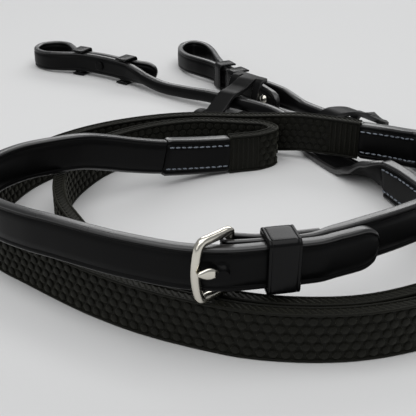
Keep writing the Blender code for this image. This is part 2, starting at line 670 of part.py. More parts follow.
def build_buckle_rein():
    """The rein whose strap is folded round the buckle's heel bar, with its end sewn back."""
    radius = HEEL_BAR_RADIUS + 0.25 + SKIVED_THICKNESS / 2
    fold = fold_arc(HEEL, radius, 101, 281, 8)
    route = Route(BUCKLE_ROUTE_CHAPE + fold + BUCKLE_ROUTE_MAIN)
    chape = [(0.0, SKIVED), (CHAPE_END, SKIVED), (CHAPE_END + 15, LEATHER)]
    marks = [route.nearest(*spot) for spot in BUCKLE_ROLL]
    hand_strap, bit_strap = build_rein("buckle_side", route, BUCKLE_HAND_LENGTH, chape, marks)
    cut(hand_strap, tongue_slot("fold_slot", FOLD_SLOT))
    return route, bit_strap


def tongue_slot(name, corners):
    """Cutter for a slot the tongue passes through."""
    (x0, y0), (x1, y1) = corners
    low = (x0, HEEL[1] + y0, STRAP_HEIGHT - SLOT_HEIGHT / 2)
    high = (x1, HEEL[1] + y1, STRAP_HEIGHT + SLOT_HEIGHT / 2)
    return cutter(name, low, high)


def centre_keeper():
    """The loop that holds the tip strap against the folded strap."""
    stack = LEATHER_THICKNESS + 2 * SKIVED_THICKNESS + 2 * LAYER_GAP
    along = Vector((*CENTRE_KEEPER_HEADING, 0.0)).normalized()
    side = Vector((-along.y, along.x, 0.0))
    centre = Vector((*CENTRE_KEEPER_AT, STRAP_HEIGHT))
    centre += side * (stack - LEATHER_THICKNESS) / 2
    depth = stack + 2 * KEEPER_CLEARANCE
    height = LEATHER_WIDTH + 2 * KEEPER_CLEARANCE
    return keeper("centre_keeper", centre, along, depth, height, CENTRE_KEEPER_WIDTH)


# Where each rein becomes rolled, and where it is flat again for the billet
TIP_ROLL = ((57.5, 412), (-40, 516))
BUCKLE_ROLL = ((99.5, 404), (55, 464))

# Billets: far end of the loop, then (main strap, tail) places of each keeper and of the stud
BILLETS = {
    "tip_side": ((-116, 572), ((-84.5, 546.8), (-83.0, 551.4)), ((-54, 528), (-51.5, 532)),
                 ((-70, 539.5), (-68.2, 543.6))),
    "buckle_side": ((-10, 582), ((13, 518.5), (9.1, 517)), ((20.5, 505.2), (17, 503)),
                    ((40.5, 481.5), (35, 476))),
}


def billet_fittings(side, route, bit_strap):
    """Two keepers and the hook stud of one billet."""
    far_end, loop_keeper, tail_keeper, stud = BILLETS[side]
    turn = route.nearest(*far_end)

    def both(places):
        main_at = route.nearest(*places[0], turn - 180, turn)
        return main_at, route.nearest(*places[1], turn, route.length)

    billet_keeper("loop_keeper_" + side, route, *both(loop_keeper))
    billet_keeper("tail_keeper_" + side, route, *both(tail_keeper))
    cut(bit_strap, hook_stud("hook_stud_" + side, route, *both(stud)))


STOP_TIP_ROWS = [
    (-31, 1.3, 1.3), (-24, 1.5, 1.5), (-17, 3.6, 3.6), (-13, 6.4, 2.8), (-9, 9.6, 1.5),
    (-5, 12.4, 1.3), (0, 13.4, 1.3), (4.6, 14.6, 1.4), (6.8, 15.6, 5.6), (9.6, 16.8, 13.4),
    (11.8, 17.6, 17.6), (18, 18.2, 18.2),
]
STOP_BUCKLE_ROWS = [
    (-17, 3.2, 3.2), (-15, 4.2, 4.2), (-12, 7.6, 2.2), (-8.5, 10.8, 1.4), (-5, 12.6, 1.3),
    (0, 13.0, 1.3), (5, 12.6, 1.3), (9, 11.4, 1.4), (13, 9.2, 2.6), (16.5, 7.6, 7.6),
    (23, 6.0, 6.0),
]

tip_route, tip_bit = build_tip_rein()
buckle_route, buckle_bit = build_buckle_rein()
buckle_frame()
buckle_tongue()
centre_keeper()
billet_fittings("tip_side", tip_route, tip_bit)
billet_fittings("buckle_side", buckle_route, buckle_bit)
rein_stop("rein_stop_tip_side", (14.7, 473.0), 45.0, -0.18, STOP_TIP_ROWS)
rein_stop("rein_stop_buckle_side", (74.0, 440.5), 11.5, -0.5, STOP_BUCKLE_ROWS)
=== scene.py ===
# %% [markdown]
# # Rubber-grip reins laid in a coil
#
# A pair of riding reins: flat black leather at the buckle, a long rubber grip on each rein, then
# leather again, which is rolled round and ends in a folded billet for the bit. This script gives
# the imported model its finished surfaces. The model is the frame: its solids say where each piece
# is, and every finished piece here stands in the place of one of them.

# %% The frame
import bisect
import math

import bmesh
import bpy
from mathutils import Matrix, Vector


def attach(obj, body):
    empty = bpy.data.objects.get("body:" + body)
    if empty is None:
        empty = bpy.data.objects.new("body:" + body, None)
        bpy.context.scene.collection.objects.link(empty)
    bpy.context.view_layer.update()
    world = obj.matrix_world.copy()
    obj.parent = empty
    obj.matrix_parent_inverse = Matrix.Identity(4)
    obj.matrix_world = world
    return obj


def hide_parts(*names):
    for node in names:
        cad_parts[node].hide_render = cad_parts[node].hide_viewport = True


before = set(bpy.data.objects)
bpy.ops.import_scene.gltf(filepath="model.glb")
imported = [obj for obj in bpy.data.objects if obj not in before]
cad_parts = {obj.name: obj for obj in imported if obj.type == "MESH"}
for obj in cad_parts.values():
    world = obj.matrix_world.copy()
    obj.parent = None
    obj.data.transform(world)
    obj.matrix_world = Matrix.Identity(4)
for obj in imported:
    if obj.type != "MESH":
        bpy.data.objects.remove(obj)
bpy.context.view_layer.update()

# %% [markdown]
# ## Working in millimetres
#
# Leatherwork is measured in millimetres, so the pieces are drawn in millimetres in a bench frame
# whose origin lies in front of the coil. One function turns a drawn point into the model's metres.
# Every finished piece is a mesh whose object stays at the origin, so its place is in its points.

# %% Units and places
MM = 0.001
COIL_CENTRE = (-0.4, 407.9)      # middle of the coil in the bench frame
UP = Vector((0, 0, 1))


def metres(x, y, z):
    return Vector(((x - COIL_CENTRE[0]) * MM, (y - COIL_CENTRE[1]) * MM, z * MM))


def placed(name, data):
    """An object in the scene for a mesh, a curve, a lamp or a camera."""
    made = bpy.data.objects.new(name, data)
    bpy.context.scene.collection.objects.link(made)
    return made


def finished(name, mesh, body, node=None):
    """Show a mesh as a finished piece that rides on a body and stands for a node."""
    piece = placed(name, mesh)
    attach(piece, body)
    if node:
        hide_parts(node)
    print(name, len(mesh.polygons), "faces")


print("bench origin at", [round(v, 4) for v in metres(0, 0, 0)], "m")

# %% [markdown]
# ## The material helpers
#
# A material is a small tree of nodes. Writing each node, its settings and its links by hand takes
# three lines apiece, so one function does all of it: a socket given another node's output is
# linked, and a socket given a number or a colour is set. Colours are written as the hex values a
# dye chart would give, and one function turns them into the linear values the renderer works in.

# %% Nodes and colours
MIX_A, MIX_B, MIXED = 6, 7, 2    # a Mix node's colour sockets, whose names its others share


def fill(tree, node, inputs):
    """Link or set a node's sockets."""
    for name, value in inputs.items():
        socket = node.inputs[name]
        value = getattr(value, "socket", value)      # a wire, below, stands for its socket
        if isinstance(value, bpy.types.NodeSocket):
            tree.links.new(value, socket)
        else:
            socket.default_value = value


def add_node(tree, kind, inputs=None, **settings):
    made = tree.nodes.new(kind)
    for name, value in settings.items():
        setattr(made, name, value)
    fill(tree, made, inputs or {})
    return made


def linear(hex_colour):
    parts = [int(hex_colour[i:i + 2], 16) / 255 for i in (1, 3, 5)]
    curve = [c / 12.92 if c <= 0.04045 else ((c + 0.055) / 1.055) ** 2.4 for c in parts]
    return (*curve, 1.0)


def per_metre(size_mm):
    """A pattern's scale: how many of its features lie along a metre."""
    return 1 / (size_mm * MM)


def new_material(name):
    """A material with its tree, its shader and its Object coordinates."""
    made = bpy.data.materials.new(name)
    made.use_nodes = True
    tree = made.node_tree
    shader = tree.nodes["Principled BSDF"]
    places = add_node(tree, "ShaderNodeTexCoord").outputs["Object"]
    print("material", name)
    return made, tree, shader, places


print("the darkest dye is", [round(c, 5) for c in linear("#050506")[:3]], "in linear values")

# %% [markdown]
# ## Bridle leather
#
# Bridle leather is cowhide dyed right through, stuffed with wax and rolled smooth, so its grain
# shows only as a faint pebble and its gloss is broken by handling. A painted image could hold all
# that, but it would stretch on a strap this long, so it is worked out at every point instead. A
# layered noise gives the pebble, a Voronoi gives the fine pores, and a broad noise moves the
# roughness by a little, which is what the eye reads as wax. The cut edges are burnished with more
# wax, so they are glossier and smoother. Their colour is paler all round, which is painted
# highlight: the light that runs along the edges is put into their colour. They are a second leather
# with the same pattern, and the keepers, which are rubbed most, are a third.

# %% Leather: faces, edges and keepers
PEBBLE_MM = 0.9                  # true grain is nearer 0.3 mm, which is too fine to show
PORE_MM = 0.5
PORE_SHARE = 0.35                # the pores' depth, where the pebble's is 1
HANDLING_MM = 22.0
GLOSSIER, DULLER = 0.06, 0.08    # how far handling moves the roughness


def leather(name, colour, worn_colour, roughness, grain_depth, specular, coat):
    made, tree, shader, places = new_material(name)
    handled = add_node(tree, "ShaderNodeTexNoise",
                       {"Vector": places, "Scale": per_metre(HANDLING_MM), "Detail": 4.0})
    pebble = add_node(tree, "ShaderNodeTexNoise",
                      {"Vector": places, "Scale": per_metre(PEBBLE_MM), "Detail": 5.0,
                       "Roughness": 0.6})
    pores = add_node(tree, "ShaderNodeTexVoronoi",
                     {"Vector": places, "Scale": per_metre(PORE_MM)}, feature="F1")
    # For the edge leather these colours are paler, which is painted highlight.
    dye = add_node(tree, "ShaderNodeMix",
                   {"Factor": handled.outputs["Fac"], MIX_A: linear(colour),
                    MIX_B: linear(worn_colour)}, data_type="RGBA")
    gloss = add_node(tree, "ShaderNodeMapRange",
                     {"Value": handled.outputs["Fac"], "From Min": 0.3, "From Max": 0.7,
                      "To Min": roughness - GLOSSIER, "To Max": roughness + DULLER})
    height = add_node(tree, "ShaderNodeMath",
                      {0: pores.outputs["Distance"], 1: PORE_SHARE, 2: pebble.outputs["Fac"]},
                      operation="MULTIPLY_ADD")
    grain = add_node(tree, "ShaderNodeBump",
                     {"Height": height.outputs[0], "Strength": 0.35,
                      "Distance": grain_depth * MM})
    fill(tree, shader, {"Base Color": dye.outputs[MIXED], "Roughness": gloss.outputs["Result"],
                        "Normal": grain.outputs["Normal"], "IOR": 1.5,
                        "Specular IOR Level": specular, "Coat Weight": coat,
                        "Coat Roughness": 0.28})
    return made


BRIDLE_LEATHER = leather("waxed_bridle_leather", "#060607", "#0a0a0a",
                         roughness=0.36, grain_depth=0.10, specular=0.09, coat=0.02)
# The edges' paler colours are painted highlight; the wax gives them their gloss.
BURNISHED_EDGE_PAINTED_HIGHLIGHT = leather("burnished_leather_edge", "#131314", "#1d1c1c",
                         roughness=0.28, grain_depth=0.12, specular=0.5, coat=0.45)
POLISHED_LEATHER = leather("polished_keeper_leather", "#050506", "#080809",
                           roughness=0.19, grain_depth=0.06, specular=0.12, coat=0.10)

# %% [markdown]
# ## Moulded rubber
#
# The grip is natural rubber, moulded and vulcanised: almost black with an olive cast, dull, and
# with a bloom of wax and dust that lies unevenly. A plain grey would do from afar, but the bloom
# is what tells rubber from leather, so a broad noise drives both its tint and its dullness. A
# little sheen stands for the dust, which is palest where the surface turns away.

# %% Rubber
BLOOM_MM = 9.0
MOULD_SKIN_MM = 0.6


def moulded_rubber():
    made, tree, shader, places = new_material("vulcanised_rubber")
    bloom = add_node(tree, "ShaderNodeTexNoise",
                     {"Vector": places, "Scale": per_metre(BLOOM_MM), "Detail": 6.0,
                      "Roughness": 0.65})
    skin = add_node(tree, "ShaderNodeTexNoise",
                    {"Vector": places, "Scale": per_metre(MOULD_SKIN_MM), "Detail": 3.0})
    tint = add_node(tree, "ShaderNodeMix",
                    {"Factor": bloom.outputs["Fac"], MIX_A: linear("#090907"),
                     MIX_B: linear("#14140f")}, data_type="RGBA")
    dull = add_node(tree, "ShaderNodeMapRange",
                    {"Value": bloom.outputs["Fac"], "From Min": 0.3, "From Max": 0.7,
                     "To Min": 0.52, "To Max": 0.68})
    bump = add_node(tree, "ShaderNodeBump",
                    {"Height": skin.outputs["Fac"], "Strength": 0.3, "Distance": 0.08 * MM})
    fill(tree, shader, {"Base Color": tint.outputs[MIXED], "Roughness": dull.outputs["Result"],
                        "Normal": bump.outputs["Normal"], "IOR": 1.52,
                        "Specular IOR Level": 0.12, "Sheen Weight": 0.09,
                        "Sheen Tint": linear("#f0f0d8"), "Sheen Roughness": 0.5})
    return made


RUBBER = moulded_rubber()

# %% [markdown]
# ## Thread and web
#
# The thread is waxed linen, a little bluer than the leather, and its pale grey-blue is painted
# highlight: the bright line that light draws along the stitches is put into its colour. The web
# inside the rubber is cotton, which nobody sees once the reins are sewn. Both are laid from strands
# at an even spacing, so one function makes both from a wave texture: it raises the strands, and it
# paints the grooves between them darker than their crowns, which is painted shade. A model of every
# strand would cost far more faces than it would ever show.

# %% Thread and web
STRAND_MM = 0.35
WEB_THREAD_MM = 0.9
WAVE_TURN = 6.283                # a wave texture counts its scale in radians


def spun_fibre(name, spacing_mm, direction, distortion, low, high, strength, depth, surface):
    made, tree, shader, places = new_material(name)
    strands = add_node(tree, "ShaderNodeTexWave",
                       {"Vector": places, "Scale": per_metre(spacing_mm) / WAVE_TURN,
                        "Distortion": distortion}, bands_direction=direction)
    # Painted shade: the same wave that raises the strands darkens the grooves between them.
    shade = add_node(tree, "ShaderNodeMix",
                     {"Factor": strands.outputs["Fac"], MIX_A: linear(low),
                      MIX_B: linear(high)}, data_type="RGBA")
    twist = add_node(tree, "ShaderNodeBump",
                     {"Height": strands.outputs["Fac"], "Strength": strength,
                      "Distance": depth * MM})
    fill(tree, shader, {"Base Color": shade.outputs[MIXED], "Normal": twist.outputs["Normal"],
                        **surface})
    return made


# The thread's pale grey-blue is painted highlight, for the bright line along the stitches.
THREAD = spun_fibre("waxed_linen_thread", STRAND_MM, "DIAGONAL", 1.5, "#565c65", "#868e99",
                    strength=0.5, depth=0.1, surface={"Roughness": 0.5, "Coat Weight": 0.25})
WEB = spun_fibre("woven_cotton_web", WEB_THREAD_MM, "Z", 0.0, "#1b1b1b", "#2a2a2a",
                 strength=0.6, depth=0.2, surface={"Roughness": 0.9})

# %% [markdown]
# ## Polished steel
#
# The buckle and the studs are cast stainless steel, polished by hand, so they are mirrors with
# faint drags and a warm tone. An even gloss would look like chrome plate. A noise that is drawn
# out lengthwise gives the drags, and moves the roughness with them.

# %% Steel
POLISH_DRAG_MM = 1.4
DRAG_STRETCH = 0.12              # the drags are about eight times as tall as they are wide


def polished_steel():
    made, tree, shader, places = new_material("polished_stainless_steel")
    stretched = add_node(tree, "ShaderNodeMapping",
                         {"Vector": places, "Scale": (1.0, 1.0, DRAG_STRETCH)})
    drags = add_node(tree, "ShaderNodeTexNoise",
                     {"Vector": stretched.outputs["Vector"], "Scale": per_metre(POLISH_DRAG_MM),
                      "Detail": 5.0})
    gloss = add_node(tree, "ShaderNodeMapRange",
                     {"Value": drags.outputs["Fac"], "To Min": 0.10, "To Max": 0.24})
    bump = add_node(tree, "ShaderNodeBump",
                    {"Height": drags.outputs["Fac"], "Strength": 0.1, "Distance": 0.05 * MM})
    fill(tree, shader, {"Base Color": linear("#dcd8cd"), "Metallic": 1.0,
                        "Roughness": gloss.outputs["Result"], "Normal": bump.outputs["Normal"]})
    return made


STEEL = polished_steel()

# %% [markdown]
# ## The routes the reins lie along
#
# Each rein is one long strap, and it stands on edge in a path that was laid by hand. Its middle is
# a smooth curve through a few dozen points, each a place, a height and a lean: 0 degrees is on
# edge and 90 is flat. Blender's own curves could carry it, but everything sewn to a rein is
# measured as a length along it from the buckle end, which is how a saddler would mark it out, so
# the curve is worked out here and can be asked for any length. The points are the solids' own, and
# a finished strap lies just where its solid does.

# %% Points of the tip rein, of the folded end, and of the buckle rein
ROLLED_HEIGHT = 7.0
BILLET_HEIGHT = 8.5
DRAWN_STRAP_HEIGHT = 32.8        # the buckled straps' height in the rows below


def filled(rows):
    """Rows of (x, y, height, lean). A height or a lean that is left out is the one before."""
    found = []
    for row in rows:
        found.append(row + found[-1][len(row):] if found else row)
    return found


TIP_ROUTE = filled([
    (58.5, 257, 32.8, 0), (50.5, 252.6), (43.5, 249.2), (37, 246), (24, 243.4), (10, 240.7),
    (2, 240.4), (-7, 241.4), (-16, 244.0), (-31, 250), (-43, 256), (-55, 262.8, 32.6),
    (-66, 269.8, 31.8), (-78, 280, 30.6), (-87, 293, 29.6), (-91.5, 308, 29.0),
    (-89.5, 323, 28.8), (-80.5, 335.5), (-68, 343), (-56, 348.5, 28.4), (-47, 354, 25.6),
    (-36, 362, 20.8), (-23, 371, 16.0), (-10, 379.5, 12.6), (4, 386.5, 10.4), (16, 390.5, 9.8),
    (26, 393.5), (33, 400), (29, 407), (19, 409), (8, 410.8), (-6, 411.5), (-22, 407.5),
    (-38, 399), (-51, 387), (-60, 370), (-65, 352), (-65, 335), (-61, 318), (-54, 303),
    (-46, 288.5), (-35, 274.5), (-20, 261), (-5, 251.2), (10, 244.9), (24, 241.8), (38, 241.0),
    (51, 242.1), (64, 245.8), (79, 253), (92, 264), (99, 280), (101, 297), (99, 315), (94.5, 332),
    (89, 347), (84, 359, 9.6, 5), (79, 370, 7.6, 42), (74, 380, 4.3, 76), (69.5, 388.5, 2.3, 90),
    (63, 400.5, 1.95), (57.5, 412, 2.0), (52.5, 424, 4.1, 82), (47, 437, 5.0, 45),
    (40, 450, 6.8, 0), (30, 461.5, ROLLED_HEIGHT), (16, 472), (1, 482.5), (-14, 493.5, 5.8),
    (-29, 505.5, 5.2), (-43, 518.5, 7.4), (-56, 529.5, BILLET_HEIGHT), (-70, 539.5), (-85, 547),
    (-99, 550.5, 7.8), (-110, 556, 6.9), (-116.5, 565, 6.6), (-115, 575.5), (-106.5, 580.5),
    (-97.5, 576.5, 7.0), (-92, 566, 7.8), (-88.5, 556.5, 8.6), (-82.5, 551.2, BILLET_HEIGHT),
    (-68, 543.6), (-53.2, 533.2), (-43, 527.5, 8.5), (-32.5, 524.5, 8.1),
])
CHAPE_ROUTE = filled([
    (37.6, 252.6, 32.8, 0), (30, 250.9), (22.7, 249.4), (16, 248.4), (11.5, 248.9),
])
BUCKLE_ROUTE = filled([
    (15.3, 245.3, 32.8, 0), (23.3, 246.8), (34.5, 249.3), (41.3, 253.3), (48.2, 257), (56, 261.6),
    (62.5, 265.4), (71, 271.5, 32.4), (82, 281.5, 31.2), (93, 295, 29.8), (101, 310, 28.9),
    (106, 328, 28.6), (107, 345, 26.8), (104, 361, 22.6), (97.5, 376, 18.0), (89, 387, 15.6),
    (78.5, 394.5, 14.6), (68, 399.2), (57, 403.5), (47, 407, 14.4), (37, 411, 12.8),
    (25, 415.8, 10.8), (12, 418.8, 9.9), (0, 419.8, 9.8), (-12, 419.5), (-26, 416.5), (-41, 411),
    (-55, 403.5), (-66, 395), (-76, 384.5), (-86, 370), (-92, 354), (-95, 337), (-94.5, 320),
    (-90, 306), (-81.5, 294.5), (-69, 284), (-56, 273.3), (-45.5, 265.2), (-37.6, 259.8),
    (-26.8, 253.2), (-16, 247.8), (-5, 243.2), (3, 240.2), (11.5, 237.5), (24, 235.4),
    (38, 234.7), (51, 235.8), (65, 239.2), (82, 246), (97, 257), (107.5, 272), (113, 290),
    (115.5, 310), (116, 332), (114.5, 352), (111, 371, 9.6), (105.5, 389, 9.2), (99.5, 404, 8.7),
    (92.5, 417, 7.4), (84, 429, ROLLED_HEIGHT), (74, 440.5), (64, 452.5, 6.8),
    (52.5, 467.5, ROLLED_HEIGHT), (41.5, 480.5, 8.2), (30.5, 493, BILLET_HEIGHT), (21, 504.5),
    (14, 516), (8.5, 530, 8.4), (5.5, 546, 7.6), (3, 562, 6.8), (-2, 576, 6.6), (-10, 582),
    (-17, 576), (-18.5, 562, 6.8), (-14, 547.5, 7.6), (-6.5, 537, 8.4), (2, 528, BILLET_HEIGHT),
    (8.5, 518.4), (13.7, 508.4), (17.5, 502.0), (24.5, 491.5), (31, 483, 8.7), (36, 474, 8.2),
    (40.5, 465, 7.8),
])
print("points", len(TIP_ROUTE), len(CHAPE_ROUTE), len(BUCKLE_ROUTE))

# %% The buckle's place, and the fold round its heel bar
STRAP_HEIGHT = 32.45             # the height of the buckled straps' middle
COIL_HEIGHT = 9.8
HEEL = (7.4, 246.9)
FRONT_BAR = (-3.3, 237.0)
HEEL_BAR_RADIUS = 1.3
HEEL_CLEARANCE = 0.25
SKIVED_THICKNESS = 2.0


def fold_arc(radius, start, end, steps):
    """Route points round the buckle's heel bar, between two angles in degrees."""
    rows = []
    for k in range(steps + 1):
        turn = math.radians(start + (end - start) * k / steps)
        x = HEEL[0] + radius * math.cos(turn)
        y = HEEL[1] + radius * math.sin(turn)
        rows.append((x, y, DRAWN_STRAP_HEIGHT, 0))
    return rows


def level(z):
    """A drawn height, brought down in proportion above the coil."""
    share = max(0.0, z - COIL_HEIGHT) / (DRAWN_STRAP_HEIGHT - COIL_HEIGHT)
    return min(z, COIL_HEIGHT) + share * (STRAP_HEIGHT - COIL_HEIGHT)


print("strap height", level(DRAWN_STRAP_HEIGHT), "mm")


# %% A route, read by the length along it
ROUTE_SAMPLES = 24               # between each point and the next
AXIS_REACH = 0.6                 # how far to each side a direction is measured


def eased_between(a, b, leave, arrive, span, t):
    """A smooth step from a to b over a span, with the slopes at its two ends."""
    ease = t * t * (3 - 2 * t)
    return (a * (1 - ease) + b * ease
            + leave * (t * (1 - t) ** 2 * span) + arrive * (t * t * (t - 1) * span))


class Route:
    def __init__(self, points):
        rows = [Vector((p[0], p[1], level(p[2]))) for p in points]
        leans = [math.radians(p[3]) for p in points]
        knots = [0.0]
        for a, b in zip(rows, rows[1:]):
            knots.append(knots[-1] + (b - a).length)
        slopes = []
        for i in range(len(rows)):
            a, b = max(i - 1, 0), min(i + 1, len(rows) - 1)
            slopes.append((rows[b] - rows[a]) / (knots[b] - knots[a]))
        self.places = [rows[0]]
        self.leans = [leans[0]]
        for i in range(len(rows) - 1):
            span = knots[i + 1] - knots[i]
            for j in range(1, ROUTE_SAMPLES + 1):
                t = j / ROUTE_SAMPLES
                self.places.append(eased_between(rows[i], rows[i + 1], slopes[i],
                                                 slopes[i + 1], span, t))
                self.leans.append(eased_between(leans[i], leans[i + 1], 0.0, 0.0, span, t))
        self.lengths = [0.0]
        for a, b in zip(self.places, self.places[1:]):
            self.lengths.append(self.lengths[-1] + (b - a).length)
        self.length = self.lengths[-1]

    def _share(self, s):
        """The sample before length s, and how far s is on from it to the next."""
        first = min(max(bisect.bisect_right(self.lengths, s) - 1, 0), len(self.lengths) - 2)
        span = self.lengths[first + 1] - self.lengths[first]
        return first, (s - self.lengths[first]) / span

    def place(self, s):
        i, t = self._share(s)
        return self.places[i].lerp(self.places[i + 1], t)

    def axes(self, s):
        """Place, forward, width and thickness directions at length s."""
        ahead = self.place(min(s + AXIS_REACH, self.length))
        behind = self.place(max(s - AXIS_REACH, 0.0))
        forward = (ahead - behind).normalized()
        side = UP.cross(forward).normalized()
        rise = forward.cross(side)
        i, t = self._share(s)
        lean = self.leans[i] * (1 - t) + self.leans[i + 1] * t
        wide = rise * math.cos(lean) + side * math.sin(lean)
        thick = side * math.cos(lean) - rise * math.sin(lean)
        return self.place(s), forward, wide, thick

    def nearest(self, x, y, start=0.0, end=1e9):
        target = Vector((x, y))
        found = (s for s in self.lengths if start <= s <= end)
        return min(found, key=lambda s: (self.place(s).xy - target).length)


FOLD_RADIUS = HEEL_BAR_RADIUS + HEEL_CLEARANCE + SKIVED_THICKNESS / 2
tip_route = Route(TIP_ROUTE)
buckle_route = Route(CHAPE_ROUTE + fold_arc(FOLD_RADIUS, 101, 281, 8) + BUCKLE_ROUTE)
print("rein lengths", round(tip_route.length), round(buckle_route.length), "mm")

# %% [markdown]
# ## Cutting the straps
#
# A flat strap is drawn as a cross-section carried along its route. A saddler presses two crease
# lines about two millimetres in from the edges and rounds the edges over. A bump could fake the
# creases, but they run the whole length and catch the light there, so they are drawn in the
# cross-section itself. The same ring of points can be blended to a circle, which is what the
# rolled part of a rein is: the same strap, wetted and sewn round a cord. So one strap goes from
# flat to rolled to flat again.

# %% The strap's cross-section
CREASE_INSET = 2.2
CREASE_WIDTH = 0.9
CREASE_DEPTH = 0.28
CREASE_SHAPE = ((-0.5, 0.0), (-0.25, 0.7), (0.0, 1.0), (0.25, 0.7), (0.5, 0.0))
EDGE_ROUNDING = 1.1
EDGE_FACES = 5                   # faces on each side of each rounded edge
CROWN = 0.12                     # the middle of a strap stands this much proud of its edges
CROWN_PLACES = (0.55, 0.2)       # shares of the way out from the middle


def strap_section(width, thickness, roundness, crease=1.0):
    """Points round a strap: x across its width, y through its thickness."""
    a = width / 2
    b = thickness / 2
    edge = min(EDGE_ROUNDING, 0.7 * b)
    quarter = []
    for k in range(EDGE_FACES + 1):
        turn = math.radians(90 * k / EDGE_FACES)
        quarter.append((a - edge + edge * math.cos(turn), b - edge + edge * math.sin(turn)))
    for share, drop in CREASE_SHAPE:
        inset = CREASE_INSET + CREASE_WIDTH * share
        quarter.append((a - inset, b - CREASE_DEPTH * drop * crease))
    for share in CROWN_PLACES:
        quarter.append(((a - CREASE_INSET) * share, b + CROWN * crease * (1 - share ** 2)))
    half = quarter + [(-x, y) for x, y in reversed(quarter)]
    outline = half + [(-x, -y) for x, y in half]
    ring = []
    for k, (x, y) in enumerate(outline):
        turn = 2 * math.pi * (k + 0.5) / len(outline)
        round_x = a * math.cos(turn)
        round_y = b * math.sin(turn)
        ring.append((x + (round_x - x) * roundness, y + (round_y - y) * roundness))
    return ring


print("section points", len(strap_section(16.5, 4.2, 0.0)))


# %% Skinning rings of points
def skinned(made, rings, looped=False):
    """Faces from ring to ring, and over both ends unless it is a loop. Gives sides and ends."""
    sides = []
    for i in range(len(rings) if looped else len(rings) - 1):
        a, b = rings[i], rings[(i + 1) % len(rings)]
        for k in range(len(a)):
            m = (k + 1) % len(a)
            sides.append((i, k, made.faces.new((a[k], a[m], b[m], b[k]))))
    return sides, [] if looped else [made.faces.new(rings[0]), made.faces.new(rings[-1])]


def meshed(name, made, materials, sharp=50):
    """A mesh with its faces outward, its materials, and edges sharp past an angle."""
    bmesh.ops.recalc_face_normals(made, faces=made.faces)
    mesh = bpy.data.meshes.new(name)
    made.to_mesh(mesh)
    made.free()
    for look in materials:
        mesh.materials.append(look)
    mesh.shade_smooth()
    mesh.set_sharp_from_angle(angle=math.radians(sharp))
    return mesh


print("meshes so far", len(bpy.data.meshes))

# %% Carrying a section along a route
SWEEP_STEP = 1.6


def shape_at(spans, s):
    for (s0, first), (s1, second) in zip(spans, spans[1:]):
        if s <= s1:
            t = 0.0 if s1 <= s0 else max(0.0, (s - s0) / (s1 - s0))
            return tuple(p + (q - p) * t for p, q in zip(first, second))
    return spans[-1][1]


def lengths_between(stops, step=SWEEP_STEP):
    """Every stop, with even steps between them."""
    found = []
    for a, b in zip(stops, stops[1:]):
        parts = max(1, math.ceil((b - a) / step))
        found += [a + (b - a) * k / parts for k in range(parts)]
    return found + [stops[-1]]


def swept(name, route, spans, materials, section=strap_section, edge_slot=1):
    """A closed strap mesh with a UV map in metres: along the strap, then points round it."""
    stations = lengths_between([s for s, _ in spans])
    made = bmesh.new()
    uv = made.loops.layers.uv.new("along_and_round")
    rings = []
    for s in stations:
        centre, _, wide, thick = route.axes(s)
        points = section(*shape_at(spans, s))
        rings.append([made.verts.new(metres(*(centre + wide * x + thick * y)))
                      for x, y in points])
    half = len(rings[0]) // 2
    sides, ends = skinned(made, rings)
    for i, k, face in sides:
        nearest_edge = min(k % half, half - 1 - k % half)
        face.material_index = edge_slot if nearest_edge < EDGE_FACES else 0
        corners = ((i, k), (i, k + 1), (i + 1, k + 1), (i + 1, k))
        for loop, (along, around) in zip(face.loops, corners):
            loop[uv].uv = (stations[along] * MM, around * MM)
    for face in ends:
        face.material_index = edge_slot
    return meshed(name, made, materials)


print("a rein is drawn in about", round(tip_route.length / SWEEP_STEP), "steps")

# %% [markdown]
# ## The four lengths of leather
#
# Each rein has a hand strap, from the buckle to the rubber, and a bit strap, from the rubber to
# the billet. Their ends are skived, or pared thin, where they go inside the sewn patches. The hand
# strap of the tip rein ends in a rounded tip. The other is folded round the heel bar of the
# buckle, with its end sewn back against itself, which saddlers call a chape. Modelling each as a
# box and bending it would stretch it, so each is swept at its full length, and a row of marks says
# what its section is at each place.

# %% Leather sizes, and marks along the reins
LEATHER = (16.5, 4.2, 0.0)       # width, thickness and roundness
BIT_LEATHER = (16.5, 3.6, 0.0)
SKIVED = (16.5, SKIVED_THICKNESS, 0.0)
CORE = (14.5, 2.6, 0.0)
ROLLED = (7.6, 7.6, 1.0)
BILLET = (12.5, 3.6, 0.0)
PATCH_LENGTH = 36.0
GRIP_LENGTH = 455.0
CHAPE_END = 62.0
CHAPE_BLEND = 15.0
ROLL_BLEND = 16.0
TIP_ROUNDING = 8.0
GAP = 0.3
SHOULDER = 0.4                   # length over which leather steps down to its core
REINS = {
    "tip_side": {"route": tip_route, "hand": 284.7, "roll": (57.5, 412), "billet": (-40, 516)},
    "buckle_side": {"route": buckle_route, "hand": 222.0, "roll": (99.5, 404),
                    "billet": (55, 464)},
}
for side, rein in REINS.items():
    rein["grip"] = rein["hand"] + PATCH_LENGTH
    rein["grip_end"] = rein["grip"] + GRIP_LENGTH
    rein["bit"] = rein["grip_end"] + PATCH_LENGTH
    print(side, "grip from", rein["grip"], "to", rein["grip_end"], "mm")


# %% Ends and holes
END_ROWS = 14
END_FULLNESS = 0.7               # below 1, the rows crowd towards the end
TIP_LEAST_WIDTH, TIP_LEAST_THICKNESS = 0.2, 0.62


def rounded_end(shape, at_length, direction, rounding=TIP_ROUNDING):
    """Section rows that bring a strap's end to a half-round tip, drawn right to its point."""
    width, thickness, roundness = shape
    rows = []
    for k in range(END_ROWS + 1):
        share = 1 - (k / END_ROWS) ** END_FULLNESS
        arc = math.sqrt(max(0.0, 1 - (1 - share) ** 2))
        breadth = width * (TIP_LEAST_WIDTH + (1 - TIP_LEAST_WIDTH) * arc)
        thin = thickness * (TIP_LEAST_THICKNESS
                            + (1 - TIP_LEAST_THICKNESS) * min(1.0, 4 * share))
        rows.append((at_length - direction * rounding * share, (breadth, thin, roundness)))
    return rows


